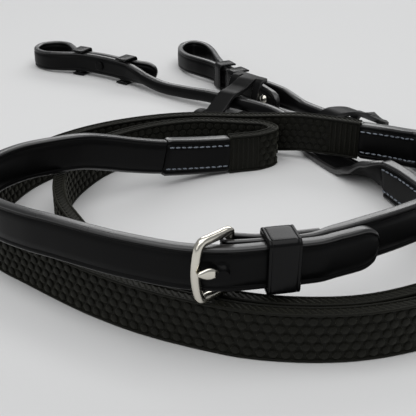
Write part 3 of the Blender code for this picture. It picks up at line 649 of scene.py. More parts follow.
def hole_cutter(x0, x1, y0, y1, height):
    """A slot with round ends through the straps: x from bench zero, y from the heel bar."""
    made = bmesh.new()
    radius = height / 2
    outline = []
    for middle, first in ((x1 - radius, -90), (x0 + radius, 90)):
        for k in range(9):
            turn = math.radians(first + 180 * k / 8)
            outline.append((middle + radius * math.cos(turn),
                            STRAP_HEIGHT + radius * math.sin(turn)))
    skinned(made, [[made.verts.new(metres(x, HEEL[1] + y, z)) for x, z in outline]
                   for y in (y0, y1)])
    return meshed("hole", made, [BRIDLE_LEATHER])


def applied(piece, *helpers):
    """The mesh that a piece's modifiers make, with the piece and its helpers gone."""
    graph = bpy.context.evaluated_depsgraph_get()
    mesh = bpy.data.meshes.new_from_object(piece.evaluated_get(graph))
    for used in (piece, *helpers):
        bpy.data.objects.remove(used)
    return mesh


def punched(mesh, hole):
    """The mesh with a hole cut through it."""
    work, punch = placed("work", mesh), placed("punch", hole)
    step = work.modifiers.new("punch", "BOOLEAN")
    step.operation = "DIFFERENCE"
    step.object = punch
    return applied(work, punch)


print("ends are drawn in", END_ROWS, "rows")

# %% Hand straps
# The second look, on the rounded edges, is paler: painted highlight.
LOOK = (BRIDLE_LEATHER, BURNISHED_EDGE_PAINTED_HIGHLIGHT)
TIP_HOLE = {"x0": 2.7, "x1": 7.2, "y0": -12.0, "y1": -3.2, "height": 4.2}
FOLD_SLOT = {"x0": 0.5, "x1": 12.6, "y0": -5.5, "y1": 5.5, "height": 5.2}


def hand_strap(side, first_spans):
    rein = REINS[side]
    end = rein["hand"]
    spans = first_spans + [(end - GAP - SHOULDER, LEATHER), (end - GAP, CORE),
                           (end + PATCH_LENGTH / 2, CORE)]
    return swept("hand_strap_" + side, rein["route"], spans, LOOK)


tip = list(reversed(rounded_end(LEATHER, 0.0, -1)))
tip_strap = punched(hand_strap("tip_side", tip), hole_cutter(**TIP_HOLE))
finished("tip_strap", tip_strap, "reins", "hand_strap_tip_side")
chape = [(0.0, SKIVED), (CHAPE_END, SKIVED), (CHAPE_END + CHAPE_BLEND, LEATHER)]
folded_strap = punched(hand_strap("buckle_side", chape), hole_cutter(**FOLD_SLOT))
finished("folded_strap", folded_strap, "reins", "hand_strap_buckle_side")

# %% Bit straps, rolled and flat again
for side, rein in REINS.items():
    route = rein["route"]
    roll = route.nearest(*rein["roll"])
    flat = route.nearest(*rein["billet"])
    start = rein["bit"]
    spans = [(start - PATCH_LENGTH / 2, CORE), (start + GAP, CORE),
             (start + GAP + SHOULDER, BIT_LEATHER), (roll, BIT_LEATHER),
             (roll + ROLL_BLEND, ROLLED), (flat, ROLLED), (flat + ROLL_BLEND, BILLET)]
    spans += rounded_end(BILLET, route.length, 1)
    mesh = swept("bit_strap_" + side, route, spans, LOOK)
    finished("rolled_rein_" + side, mesh, "reins", "bit_strap_" + side)

# %% [markdown]
# ## The sewn patches
#
# Where leather meets rubber, a thin piece of leather is wrapped over the join and sewn through on
# both long edges. It could be a shell round the strap, but only its outside is ever seen, so it is
# drawn as a swollen length of strap, with a bevel at each end and deeper creases, which is where
# the thread pulls the leather in.

# %% Patches
PATCH = (18.2, 5.6, 0.0)
PATCH_PINCHED = (17.0, 4.2, 0.0)
PATCH_BEVEL = 1.2
PATCH_CREASE = 1.5               # times as deep as a strap's own


def patch_section(width, thickness, roundness):
    return strap_section(width, thickness, roundness, crease=PATCH_CREASE)


for side, rein in REINS.items():
    for name, start in (("hand_end_patch_", rein["hand"]), ("bit_end_patch_", rein["grip_end"])):
        end = start + PATCH_LENGTH
        spans = [(start, PATCH_PINCHED), (start + PATCH_BEVEL, PATCH),
                 (end - PATCH_BEVEL, PATCH), (end, PATCH_PINCHED)]
        mesh = swept(name + side, rein["route"], spans, LOOK, section=patch_section)
        finished("sewn_" + name + side, mesh, "reins", name + side)

# %% [markdown]
# ## The rubber grips
#
# A rubber grip is one long moulding: a sleeve with a raised rim along each corner, slanting teeth
# between the rims, and staggered round pimples over both faces, so that wet gloves don't slip.
# Everything on it repeats at a set pitch along the rein, so one Geometry Nodes tree makes a whole
# grip from a guide curve. The tree sweeps the sleeve and the four rims, then sets out the pimples,
# the teeth and the plain ribs at each end by sampling the curve at their lengths. Array and Curve
# modifiers could do it too, but they would bend the pimples with the rein. Its inputs are the
# moulding's sizes, in metres, so a different grip is a change of numbers.

# %% A guide curve, and a tree with named inputs
def guide_curve(name, runs):
    """One curve object of straight-sided splines: runs of bench points, in metres."""
    curve = bpy.data.curves.new(name, "CURVE")
    curve.dimensions = "3D"
    for points in runs:
        spline = curve.splines.new("POLY")
        spline.points.add(len(points) - 1)
        for knot, place in zip(spline.points, points):
            knot.co = (*metres(*place), 1.0)
    return placed(name, curve)


class Wire:
    """One value in a tree. Arithmetic on it adds Math nodes, and gives a new wire."""

    def __init__(self, tree, socket):
        self.tree, self.socket = tree, socket

    def worked(self, operation, other=0.0):
        return Wire(self.tree, add_node(self.tree, "ShaderNodeMath", {0: self, 1: other},
                                        operation=operation).outputs[0])

    def __add__(self, other):
        return self.worked("ADD", other)

    def __sub__(self, other):
        return self.worked("SUBTRACT", other)

    def __mul__(self, other):
        return self.worked("MULTIPLY", other)

    def __mod__(self, other):
        return self.worked("MODULO", other)

    def __floordiv__(self, other):
        return self.worked("DIVIDE", other).worked("FLOOR")


def new_tree(name, inputs):
    """A Geometry Nodes tree with named inputs. Gives it, and its inputs as wires by name."""
    tree = bpy.data.node_groups.new(name, "GeometryNodeTree")
    tree.interface.new_socket("Geometry", in_out="INPUT", socket_type="NodeSocketGeometry")
    for title, kind, value in inputs:
        socket = tree.interface.new_socket(title, in_out="INPUT", socket_type="NodeSocket" + kind)
        socket.default_value = value
    tree.interface.new_socket("Geometry", in_out="OUTPUT", socket_type="NodeSocketGeometry")
    given = add_node(tree, "NodeGroupInput").outputs
    return tree, {socket.name: Wire(tree, socket) for socket in given if socket.name}


def closed_tree(tree, geometry, look):
    """End a tree in Realize Instances and Set Material."""
    real = add_node(tree, "GeometryNodeRealizeInstances", {"Geometry": geometry})
    painted = add_node(tree, "GeometryNodeSetMaterial",
                       {"Geometry": real.outputs["Geometry"], "Material": look})
    add_node(tree, "NodeGroupOutput", {"Geometry": painted.outputs["Geometry"]})
    print(tree.name, "tree", len(tree.nodes), "nodes")


def grown(guide, tree, values, name):
    """The plain mesh that a tree makes from a guide, with the guide and its modifier gone."""
    step = guide.modifiers.new(tree.name, "NODES")
    step.node_group = tree
    sockets = {s.name: s.identifier for s in tree.interface.items_tree if s.in_out == "INPUT"}
    for title, value in values.items():
        step[sockets[title]] = value
    mesh = applied(guide)
    mesh.name = name
    return mesh


# %% The grip's tree: sleeve and rims
ROUND_SIDES = 8                  # sides of a rim, a tooth or a rib
FILLET_POINTS = 3


def sum_of(tree, *terms):
    """Add up vectors, each times a number or a wire."""
    total = None
    for vector, amount in terms:
        scaled = add_node(tree, "ShaderNodeVectorMath", {0: vector, "Scale": amount},
                          operation="SCALE").outputs[0]
        total = scaled if total is None else add_node(
            tree, "ShaderNodeVectorMath", {0: total, 1: scaled}, operation="ADD").outputs[0]
    return total


def sleeve_and_rims(tree, given, curve):
    """The plain sleeve, and a round bead along each of its four corners."""
    profile = add_node(tree, "GeometryNodeCurvePrimitiveQuadrilateral",
                       {"Width": given["Sleeve Thickness"], "Height": given["Sleeve Width"]})
    rounded = add_node(tree, "GeometryNodeFilletCurve",
                       {"Curve": profile.outputs[0], "Radius": given["Rim Radius"],
                        "Count": FILLET_POINTS}, mode="POLY")
    carried = [(curve, rounded)]
    normal = add_node(tree, "GeometryNodeInputNormal").outputs[0]
    tangent = add_node(tree, "GeometryNodeInputTangent").outputs[0]
    across = add_node(tree, "ShaderNodeVectorMath", {0: tangent, 1: normal},
                      operation="CROSS_PRODUCT").outputs[0]
    bead = add_node(tree, "GeometryNodeCurvePrimitiveCircle",
                    {"Radius": given["Rim Radius"], "Resolution": ROUND_SIDES})
    for side in (-1, 1):
        for edge in (-1, 1):
            offset = sum_of(tree, (normal, given["Rim Out"] * side),
                            (across, given["Rim Up"] * edge))
            moved = add_node(tree, "GeometryNodeSetPosition", {"Geometry": curve, "Offset": offset})
            carried.append((moved.outputs[0], bead))
    return [add_node(tree, "GeometryNodeCurveToMesh",
                     {"Curve": path, "Profile Curve": shape.outputs[0],
                      "Fill Caps": True}).outputs[0] for path, shape in carried]


print("trees so far", len(bpy.data.node_groups))


# %% The grip's tree: setting shapes out along it
def set_out(tree, curve, count, length, shape, out, up, ahead_share, facing, turned_to):
    """Copies of a shape beside the curve, at a length along it, out to a side and up from it."""
    sample = add_node(tree, "GeometryNodeSampleCurve", {"Curves": curve, "Length": length},
                      mode="LENGTH", use_all_curves=True)
    place, tangent, normal = (sample.outputs[n] for n in ("Position", "Tangent", "Normal"))
    across = add_node(tree, "ShaderNodeVectorMath", {0: tangent, 1: normal},
                      operation="CROSS_PRODUCT").outputs[0]
    axes = {"normal": normal, "across": across, "tangent": tangent}
    spot = sum_of(tree, (place, 1.0), (normal, out), (across, up))
    points = add_node(tree, "GeometryNodePoints", {"Count": count, "Position": spot})
    direction, sign = facing
    face = sum_of(tree, (axes[direction], sign))
    stand = add_node(tree, "FunctionNodeAlignRotationToVector", {"Vector": face}, axis="Z")
    lie = sum_of(tree, (axes[turned_to], 1.0), (tangent, ahead_share))
    turn = add_node(tree, "FunctionNodeAlignRotationToVector",
                    {"Rotation": stand.outputs[0], "Vector": lie}, axis="X", pivot_axis="Z")
    return add_node(tree, "GeometryNodeInstanceOnPoints",
                    {"Points": points.outputs[0], "Instance": shape,
                     "Rotation": turn.outputs[0]}).outputs[0]


print("nodes before the grip's tree", sum(len(g.nodes) for g in bpy.data.node_groups))

# %% The grip's tree: pimples
PIMPLE_SIDES = 12
PIMPLE_TAPER, PIMPLE_TOP = 0.9, 0.82     # each radius as a share of the one below it


def pimples(tree, given, curve, length):
    """Staggered rows of flat-topped pimples over both faces."""
    wall = given["Pimple Radius"] * PIMPLE_TAPER
    foot = add_node(tree, "GeometryNodeMeshCone",
                    {"Vertices": PIMPLE_SIDES, "Radius Top": wall,
                     "Radius Bottom": given["Pimple Radius"], "Depth": given["Pimple Height"]})
    top = add_node(tree, "GeometryNodeMeshCone",
                   {"Vertices": PIMPLE_SIDES, "Radius Top": wall * PIMPLE_TOP,
                    "Radius Bottom": wall, "Depth": given["Pimple Edge"]})
    raised = add_node(tree, "ShaderNodeCombineXYZ", {"Z": given["Pimple Height"]})
    on_top = add_node(tree, "GeometryNodeTransform",
                      {"Geometry": top.outputs[0], "Translation": raised.outputs[0]})
    both = add_node(tree, "GeometryNodeJoinGeometry")
    for half_made in (foot, on_top):
        tree.links.new(half_made.outputs[0], both.inputs[0])
    rows, pitch, plain = (given[n] for n in ("Pimple Rows", "Pimple Pitch", "Plain End"))
    count = (length - plain * 2.0) // pitch * rows
    number = Wire(tree, add_node(tree, "GeometryNodeInputIndex").outputs[0])
    row = number % rows
    steps = number // rows + ((row % 2.0) * 0.5 + 0.25)
    up = (row - (rows - 1.0) * 0.5) * given["Row Pitch"]
    half = given["Sleeve Thickness"] * 0.5
    return [set_out(tree, curve, count, plain + steps * pitch, both.outputs[0], half * side, up,
                    0.0, ("normal", side), "tangent") for side in (-1.0, 1.0)]


print("a pimple has", 2 * PIMPLE_SIDES, "sides in two steps")


# %% The grip's tree: teeth and ribs
TOOTH_TURN = math.pi / 8         # how far a tooth leans along the edge it lies on


def bar(tree, radius, length, rotation):
    """A round bar lying down, turned by a rotation."""
    made = add_node(tree, "GeometryNodeMeshCylinder",
                    {"Vertices": ROUND_SIDES, "Radius": radius, "Depth": length})
    return add_node(tree, "GeometryNodeTransform",
                    {"Geometry": made.outputs[0], "Rotation": rotation}).outputs[0]


def teeth(tree, given, curve, length):
    """Slanting round bars between the rims, along the top and bottom edges."""
    shape = bar(tree, given["Tooth Radius"], given["Tooth Length"],
                (0.0, math.pi / 2, TOOTH_TURN))
    count = length // given["Tooth Pitch"]
    number = Wire(tree, add_node(tree, "GeometryNodeInputIndex").outputs[0])
    at = (number + 0.5) * given["Tooth Pitch"]
    return [set_out(tree, curve, count, at, shape, 0.0, given["Tooth Up"] * edge,
                    given["Tooth Slant"], ("across", edge), "normal") for edge in (-1.0, 1.0)]


def end_ribs(tree, given, curve, length):
    """Plain upright ribs over both faces, where the pimples stop short of each end."""
    shape = bar(tree, given["Rib Radius"], given["Rib Length"], (0.0, math.pi / 2, 0.0))
    each = given["Plain End"] // given["Rib Pitch"]
    middle = Wire(tree, add_node(tree, "GeometryNodeInputIndex").outputs[0]) + 0.5
    at_far_end = middle.worked("GREATER_THAN", each)
    at = middle * given["Rib Pitch"] + at_far_end * (length - given["Plain End"] * 2.0)
    half = given["Sleeve Thickness"] * 0.5
    return [set_out(tree, curve, each * 2.0, at, shape, half * side, 0.0, 0.0,
                    ("normal", side), "across") for side in (-1.0, 1.0)]


print("a tooth turns", round(math.degrees(TOOTH_TURN), 1), "degrees")

# %% The grip's tree, put together
GRIP_SIZES = {
    "Sleeve Thickness": 3.8, "Sleeve Width": 18.3, "Rim Radius": 0.5, "Rim Out": 2.2,
    "Rim Up": 9.2, "Pimple Pitch": 4.2, "Pimple Rows": 5.0, "Row Pitch": 3.4,
    "Pimple Radius": 1.62, "Pimple Height": 0.65, "Pimple Edge": 0.16, "Tooth Pitch": 2.55,
    "Tooth Radius": 0.75, "Tooth Length": 4.0, "Tooth Up": 8.75, "Tooth Slant": 0.45,
    "Plain End": 15.6, "Rib Pitch": 2.6, "Rib Radius": 0.55, "Rib Length": 16.0,
}
UNSCALED = ("Pimple Rows", "Tooth Slant")        # a count and a slope, which have no unit
grip_inputs = {title: value if title in UNSCALED else value * MM
               for title, value in GRIP_SIZES.items()}
grip_tree, given = new_tree("rubber_grip", [(title, "Float", value)
                                            for title, value in grip_inputs.items()])
upright = add_node(grip_tree, "GeometryNodeSetCurveNormal",
                   {"Curve": given["Geometry"]}, mode="Z_UP").outputs[0]
run = Wire(grip_tree, add_node(grip_tree, "GeometryNodeCurveLength",
                               {"Curve": upright}).outputs[0])
joined = add_node(grip_tree, "GeometryNodeJoinGeometry")
moulding = sleeve_and_rims(grip_tree, given, upright)
for maker in (pimples, teeth, end_ribs):
    moulding += maker(grip_tree, given, upright, run)
for part in moulding:
    grip_tree.links.new(part, joined.inputs[0])
smooth = add_node(grip_tree, "GeometryNodeSetShadeSmooth", {"Geometry": joined.outputs[0]})
closed_tree(grip_tree, smooth.outputs[0], RUBBER)

# %% Two grips from one tree
GUIDE_STEP = 2.0
GRIP_SHARP = 55                  # degrees past which an edge of the moulding stays sharp
for side, rein in REINS.items():
    lengths = lengths_between([rein["grip"] + GAP, rein["grip_end"] - GAP], GUIDE_STEP)
    guide = guide_curve("grip_guide_" + side, [[rein["route"].place(s) for s in lengths]])
    mesh = grown(guide, grip_tree, grip_inputs, "pimpled_grip_" + side)
    mesh.set_sharp_from_angle(angle=math.radians(GRIP_SHARP))
    finished("pimpled_grip_" + side, mesh, "reins", "rubber_grip_" + side)

# %% [markdown]
# ## Stitching
#
# The patches and the chape are sewn by hand, with about eight stitches to the inch, in waxed
# thread. A second Geometry Nodes tree lays the stitches along any number of guide runs at once: it
# puts points at the stitch's pitch, sets a flattened bead of thread on each, along the run, and
# gives each a slight turn of its own from a fixed seed. A texture of dashes would lie flat, and
# each bead has few enough faces to be repeated hundreds of times.

# %% The stitching tree
STITCH_SEED = 7
STITCH_SIZES = {"Pitch": 3.1, "Length": 2.7, "Thickness": 0.8, "Turn": 0.16}
stitch_inputs = {k: v if k == "Turn" else v * MM for k, v in STITCH_SIZES.items()}
stitch_tree, sewn = new_tree("stitching", [(k, "Float", v) for k, v in stitch_inputs.items()]
                             + [("Seed", "Int", STITCH_SEED)])
spread = add_node(stitch_tree, "GeometryNodeCurveToPoints",
                  {"Curve": sewn["Geometry"], "Length": sewn["Pitch"]}, mode="LENGTH")
thread_bead = add_node(stitch_tree, "GeometryNodeMeshUVSphere",
                       {"Segments": 8, "Rings": 6, "Radius": 0.5})
bead_size = add_node(stitch_tree, "ShaderNodeCombineXYZ",
                     {"X": sewn["Thickness"], "Y": sewn["Thickness"], "Z": sewn["Length"]})
stitch = add_node(stitch_tree, "GeometryNodeTransform",
                  {"Geometry": thread_bead.outputs[0], "Scale": bead_size.outputs[0]})
wander = add_node(stitch_tree, "FunctionNodeRandomValue",
                  {2: sewn["Turn"] * -1.0, 3: sewn["Turn"], "Seed": sewn["Seed"]},
                  data_type="FLOAT")
tilt = add_node(stitch_tree, "ShaderNodeCombineXYZ",
                {"X": wander.outputs[1], "Y": wander.outputs[1]})
laid = add_node(stitch_tree, "FunctionNodeRotateRotation",
                {"Rotation": spread.outputs["Rotation"], "Rotate By": tilt.outputs[0]},
                rotation_space="LOCAL")
stitches = add_node(stitch_tree, "GeometryNodeInstanceOnPoints",
                    {"Points": spread.outputs["Points"], "Instance": stitch.outputs[0],
                     "Rotation": laid.outputs[0]})
soft_look = add_node(stitch_tree, "GeometryNodeSetShadeSmooth", {"Geometry": stitches.outputs[0]})
closed_tree(stitch_tree, soft_look.outputs[0], THREAD)

# %% Runs of stitches along the reins
STITCH_STEP = 1.5
STITCH_INSET = 3.7               # from a patch's edge to its line of stitches
STITCH_MARGIN = 2.2              # from a patch's end to its first stitch
STITCH_PROUD, CHAPE_STITCH_SUNK = 0.1, 0.15
CHAPE_STITCHED = (2.0, 20.0)


def run_beside(route, start, end, up, out):
    """Points beside a route: up across the strap's width, out from its middle."""
    points = []
    for s in lengths_between([start, end], STITCH_STEP):
        centre, _, wide, thick = route.axes(s)
        points.append(centre + wide * up + thick * out)
    return points


runs = []
for rein in REINS.values():
    for start in (rein["hand"], rein["grip_end"]):
        for out in (-1, 1):
            for up in (-1, 1):
                runs.append(run_beside(rein["route"], start + STITCH_MARGIN,
                                       start + PATCH_LENGTH - STITCH_MARGIN,
                                       up * (PATCH[0] / 2 - STITCH_INSET),
                                       out * (PATCH[1] / 2 + STITCH_PROUD)))
for up in (-1, 1):
    for out in (-1, 1):
        runs.append(run_beside(buckle_route, *CHAPE_STITCHED, up * (LEATHER[0] / 2 - CREASE_INSET),
                               out * (SKIVED_THICKNESS / 2 - CHAPE_STITCH_SUNK)))
stitching = grown(guide_curve("stitch_guides", runs), stitch_tree,
                  {**stitch_inputs, "Seed": STITCH_SEED}, "stitching")
finished("patch_stitching", stitching, "reins")

# %% [markdown]
# ## The buckle
#
# The centre buckle is a cast steel frame: a thin round heel bar inside the fold of the strap, two
# side bars, and a heavier front bar with a slight bulge, all blended by polishing. Four bars
# joined and bevelled would leave seams at the corners. It is drawn as one closed path of places
# and radii, smoothed by a curve through them, with a section between round and square, which gives
# the narrow highlight that a polished casting has.

# %% The frame's bars
FRAME_INNER_HEIGHT = 18.3
FRAME_BAR = 3.4
FRAME_CORNER = 3.0
FRONT_BULGE = 1.2
HEEL_CORNER = ((0.0, 3.4), (0.25, 0.6), (1.4, 0.0))      # out from the heel, below the side bar
HEEL_CORNER_NECK = 0.95          # of the side bar's radius, where it meets the heel bar
SIDE_BAR_PLACES = (0.35, 0.62)   # shares of the way from the heel to the front
SQUARENESS = 2.7                 # 2 is a round bar, and a higher power is squarer
BAR_SIDES = 24
BAR_DEPTH, BAR_BREADTH = 0.93, 0.88      # of the radius, through the frame and along it
LOOP_PARTS = 8


def frame_bars():
    """Half the frame, mirrored: (out from the heel, height, radius) rows."""
    reach = math.dist(HEEL, FRONT_BAR)
    half = FRAME_INNER_HEIGHT / 2 + FRAME_BAR / 2
    thick = FRAME_BAR / 2
    rows = [(0.0, 0.0, HEEL_BAR_RADIUS)]
    radii = (HEEL_BAR_RADIUS, thick * HEEL_CORNER_NECK, thick)
    rows += [(out, half - below, radius) for (out, below), radius in zip(HEEL_CORNER, radii)]
    rows += [(reach * share, half, thick) for share in SIDE_BAR_PLACES]
    for turn in (75, 45, 15):
        x = reach - FRAME_CORNER + FRAME_CORNER * math.cos(math.radians(turn))
        z = half - FRAME_CORNER + FRAME_CORNER * math.sin(math.radians(turn))
        rows.append((x, z, thick))
    for share in (0.5, 0.0):
        out = reach + FRONT_BULGE * (1 - share ** 2)
        rows.append((out, (half - FRAME_CORNER) * share, thick))
    return rows + [(x, -z, r) for x, z, r in reversed(rows[1:-1])]


def smoothed_loop(rows):
    """More rows on a smooth closed curve through the given ones."""
    vectors = [Vector(row) for row in rows]
    found = []
    for i in range(len(rows)):
        p0, p1, p2, p3 = (vectors[(i + k) % len(rows)] for k in (-1, 0, 1, 2))
        span = (p2 - p1).length
        leave = (p2 - p0) / ((p1 - p0).length + span)
        arrive = (p3 - p1) / (span + (p3 - p2).length)
        found += [eased_between(p1, p2, leave, arrive, span, k / LOOP_PARTS)
                  for k in range(LOOP_PARTS)]
    return found


def squared_circle(turn, power=SQUARENESS):
    c, s = math.cos(turn), math.sin(turn)
    size = (abs(c) ** power + abs(s) ** power) ** (-1 / power)
    return c * size, s * size


heel = Vector((*HEEL, STRAP_HEIGHT))
reach_way = (Vector((*FRONT_BAR, STRAP_HEIGHT)) - heel).normalized()
flat_way = reach_way.cross(UP).normalized()
loop = smoothed_loop(frame_bars())
made = bmesh.new()
rings = []
for k, row in enumerate(loop):
    after, before = loop[(k + 1) % len(loop)], loop[k - 1]
    forward = (reach_way * (after.x - before.x) + UP * (after.y - before.y)).normalized()
    inward = forward.cross(flat_way)
    centre = heel + reach_way * row.x + UP * row.y
    ring = []
    for j in range(BAR_SIDES):
        x, y = squared_circle(2 * math.pi * j / BAR_SIDES)
        spot = centre + inward * (x * row.z * BAR_DEPTH) + flat_way * (y * row.z * BAR_BREADTH)
        ring.append(made.verts.new(metres(*spot)))
    rings.append(ring)
skinned(made, rings, looped=True)
finished("polished_buckle_frame", meshed("buckle_frame", made, [STEEL]), "buckle_frame",
         "buckle_frame")

# %% [markdown]
# ## The tongue
#
# The tongue is a curl round the heel bar and a shank that widens to a leaf, which rests on the
# front bar. It is forged from one strip, so it is swept along one route, like a strap, with a
# section that swells and thins. Its tip rides up a little where it passes over the bar.

# %% The tongue
TONGUE_BEND = (3.3, 236.7)
TONGUE_TIP = (-3.4, 233.4)
TONGUE_THICKNESS = 1.8
TONGUE_WIDTH = 2.8
TONGUE_LEAF = 4.2
TONGUE_RISE = (0.0, 0.0, 0.1, 0.4, 1.0, 1.6)
TONGUE_CURL = 262                # degrees round the heel bar
LEAF_LENGTH = 7.6
LEAF_ROWS = 14
LEAF_FULLNESS = 0.8              # below 1, the leaf is widest nearer the shank
TAPER_FROM = 0.6                 # the share of the leaf after which it narrows to its point
TIP_WIDTH = 0.6


def tongue_section(width, thickness, roundness):
    """A lens with a soft ridge along it, upright, so the leaf catches the light."""
    power = 2.0 + 0.8 * (1 - roundness)
    ring = [squared_circle(2 * math.pi * k / BAR_SIDES, power) for k in range(BAR_SIDES)]
    return [(x * width / 2, y * thickness / 2) for x, y in ring]


curl = HEEL_BAR_RADIUS + HEEL_CLEARANCE + TONGUE_THICKNESS / 2
bend, tip_end = Vector(TONGUE_BEND), Vector(TONGUE_TIP)
away = bend - Vector(HEEL)
leave = math.degrees(math.atan2(away.y, away.x) + math.acos(curl / away.length))
rows = fold_arc(curl, leave + TONGUE_CURL, leave, 9)
last = Vector(rows[-1][:2])
spots = [last.lerp(bend, share) for share in (0.3, 0.6, 0.85)]
spots += [bend.lerp(tip_end, share) for share in (0.15, 0.55, 1.0)]
rows += [(spot.x, spot.y, DRAWN_STRAP_HEIGHT + rise, 0) for spot, rise in zip(spots, TONGUE_RISE)]
tongue_route = Route(rows)
end = tongue_route.length
shank = (TONGUE_WIDTH * 0.72, TONGUE_THICKNESS, 0.3)
spans = [(0.0, (TONGUE_WIDTH * 0.8, TONGUE_THICKNESS * 0.5, 0.5)), (0.6, shank),
         (end - LEAF_LENGTH, shank)]
for k in range(1, LEAF_ROWS + 1):
    t = k / LEAF_ROWS
    swell = math.sin(math.pi * t ** LEAF_FULLNESS) ** 1.3
    narrowed = max(0.0, (t - TAPER_FROM) / (1 - TAPER_FROM))
    taper = math.sqrt(max(0.0, 1 - narrowed ** 2.2))
    width = (shank[0] + (TONGUE_LEAF - shank[0]) * swell) * taper + TIP_WIDTH * (1 - taper)
    thickness = TONGUE_THICKNESS * (0.5 + 0.5 * taper)
    spans.append((end - LEAF_LENGTH * (1 - t), (width, thickness, 0.3 + 0.5 * t)))
tongue = swept("buckle_tongue", tongue_route, spans, (STEEL,), section=tongue_section, edge_slot=0)
finished("polished_buckle_tongue", tongue, "buckle_tongue", "buckle_tongue")

# %% [markdown]
# ## Keepers
#
# A keeper is a strip of leather bent round the straps and sewn to itself, then polished by years
# of wax, so it is glossier than what it holds. A box with its middle cut out would have no edges
# to shine, so it is drawn by carrying a small creased section round a rounded rectangle, the way
# the strip itself goes round. The centre keeper is a whole band. A billet's keepers are open on
# the side of the main strap, where nothing stands proud of the leather.

# %% Keeper bands
KEEPER_WALL = 1.4
KEEPER_INSET = 0.06              # the shown wall is this much thinner than the solid's
KEEPER_CLEARANCE = 0.7
KEEPER_CORNER = 0.9
BILLET_KEEPER_CLEARANCE = 1.1
BARE_PAST = 0.75                 # how far round the corner an open keeper's ends reach
LAYER_GAP = 0.4
KEEPER_PROFILE = ((0.0, 0.14), (0.06, 0.55), (0.16, 0.85), (0.3, 0.97), (0.7, 1.0), (0.95, 0.99),
                  (1.2, 0.86), (1.45, 0.99), (2.1, 1.02))    # in from the edge, share of the wall
KEEPER_MIDDLE = 1.03


def rounded_rectangle(half_x, half_z, radius, steps=7, straight=6):
    """Points and outward directions round a rectangle with round corners."""
    found = []
    turns = ((1, 1), (-1, 1), (-1, -1), (1, -1))
    for quarter, (sx, sz) in enumerate(turns):
        centre = (sx * (half_x - radius), sz * (half_z - radius))
        for step in range(steps + 1):
            turn = math.radians(90 * (quarter + step / steps))
            out = (math.cos(turn), math.sin(turn))
            found.append((centre, out, radius))
        nx, nz = turns[(quarter + 1) % 4]
        after = (nx * (half_x - radius), nz * (half_z - radius))
        for k in range(1, straight):
            found.append((tuple(a + (b - a) * k / straight for a, b in zip(centre, after)),
                          out, radius))
    return found


def keeper_band(node, centre, heading, depth, height, width, bare=0):
    """A band round the straps, on a body of its own. A bare side, -1 or 1, is left out."""
    forward = heading.normalized()
    side = UP.cross(forward).normalized()
    wall = KEEPER_WALL - KEEPER_INSET
    section = [(-width / 2 + u, wall * share) for u, share in KEEPER_PROFILE]
    section.append((0.0, wall * KEEPER_MIDDLE))
    section += [(-x, w) for x, w in reversed(section[:-1])]
    made = bmesh.new()
    rings = []
    around = rounded_rectangle(depth / 2, height / 2, KEEPER_CORNER)
    if bare:
        shown = [spot[1][0] * bare < BARE_PAST for spot in around]
        first = next(k for k in range(len(around)) if shown[k] and not shown[k - 1])
        around = [around[(first + k) % len(around)] for k in range(sum(shown))]
    for (x, z), (ox, oz), radius in around:
        ring = []
        for along, out in section:
            reach = radius + out
            place = centre + forward * along + side * (x + ox * reach) + UP * (z + oz * reach)
            ring.append(made.verts.new(metres(*place)))
        rings.append(ring)
    skinned(made, rings, looped=not bare)
    finished("creased_" + node, meshed(node, made, [POLISHED_LEATHER]), node, node)


# %% The centre keeper
CENTRE_KEEPER = (24.6, 243.5)
CENTRE_KEEPER_HEADING = (13.0, 2.6, 0.0)
CENTRE_KEEPER_WIDTH = 11.5
stack = LEATHER[1] + 2 * SKIVED_THICKNESS + 2 * LAYER_GAP
along = Vector(CENTRE_KEEPER_HEADING).normalized()
middle = Vector((*CENTRE_KEEPER, STRAP_HEIGHT)) + UP.cross(along) * (stack - LEATHER[1]) / 2
keeper_band("centre_keeper", middle, along, stack + 2 * KEEPER_CLEARANCE,
            LEATHER[0] + 2 * KEEPER_CLEARANCE, CENTRE_KEEPER_WIDTH)

# %% Billets: far end of the loop, then the keepers' and the stud's places on strap and tail
BILLET_KEEPER_WIDTH = 8.5
NEAR_BEND = 180                  # how far before the loop's end a place on the strap can be
BILLETS = {
    "tip_side": ((-116, 572), ((-84.5, 546.8), (-83.0, 551.4)), ((-54, 528), (-51.5, 532)),
                 ((-70, 539.5), (-68.2, 543.6))),
    "buckle_side": ((-10, 582), ((13, 518.5), (9.1, 517)), ((20.5, 505.2), (17, 503)),
                    ((40.5, 481.5), (35, 476))),
}
for side, (far_end, *places) in BILLETS.items():
    route = REINS[side]["route"]
    turn = route.nearest(*far_end)
    marks = [(route.nearest(*on_strap, turn - NEAR_BEND, turn), route.nearest(*on_tail, turn))
             for on_strap, on_tail in places]
    REINS[side]["stud"] = marks[2]
    for name, (main_at, tail_at) in zip(("loop_keeper_", "tail_keeper_"), marks):
        main, ahead, _, _ = route.axes(main_at)
        tail, back, _, _ = route.axes(tail_at)
        heading = ahead - back
        depth = (tail - main).length + BILLET[1] + 2 * BILLET_KEEPER_CLEARANCE
        keeper_band(name + side, (main + tail) / 2, Vector((heading.x, heading.y, 0)), depth,
                    BILLET[0] + 2 * KEEPER_CLEARANCE, BILLET_KEEPER_WIDTH,
                    bare=1 if (main - tail).dot(UP.cross(heading)) > 0 else -1)

# %% [markdown]
# ## Hook studs
#
# Each billet is held shut by a turned steel stud: a foot inside, a neck through both layers and a
# domed head outside. A turned piece is its half outline spun round its axis. A Screw modifier does
# that too, but the axis leans with the billet here, so the rings are set out on it directly. The
# foot lies under a layer of the strap, so its faces are leather.

# %% Studs
NECK, HEAD, FOOT = 1.1, 2.7, 2.9
STUD_CLEARANCE = 0.75
STUD_SIDES = 40
DOME_RISE, DOME_SHARE = 0.6, 2.05
STUD_SHARP = 35


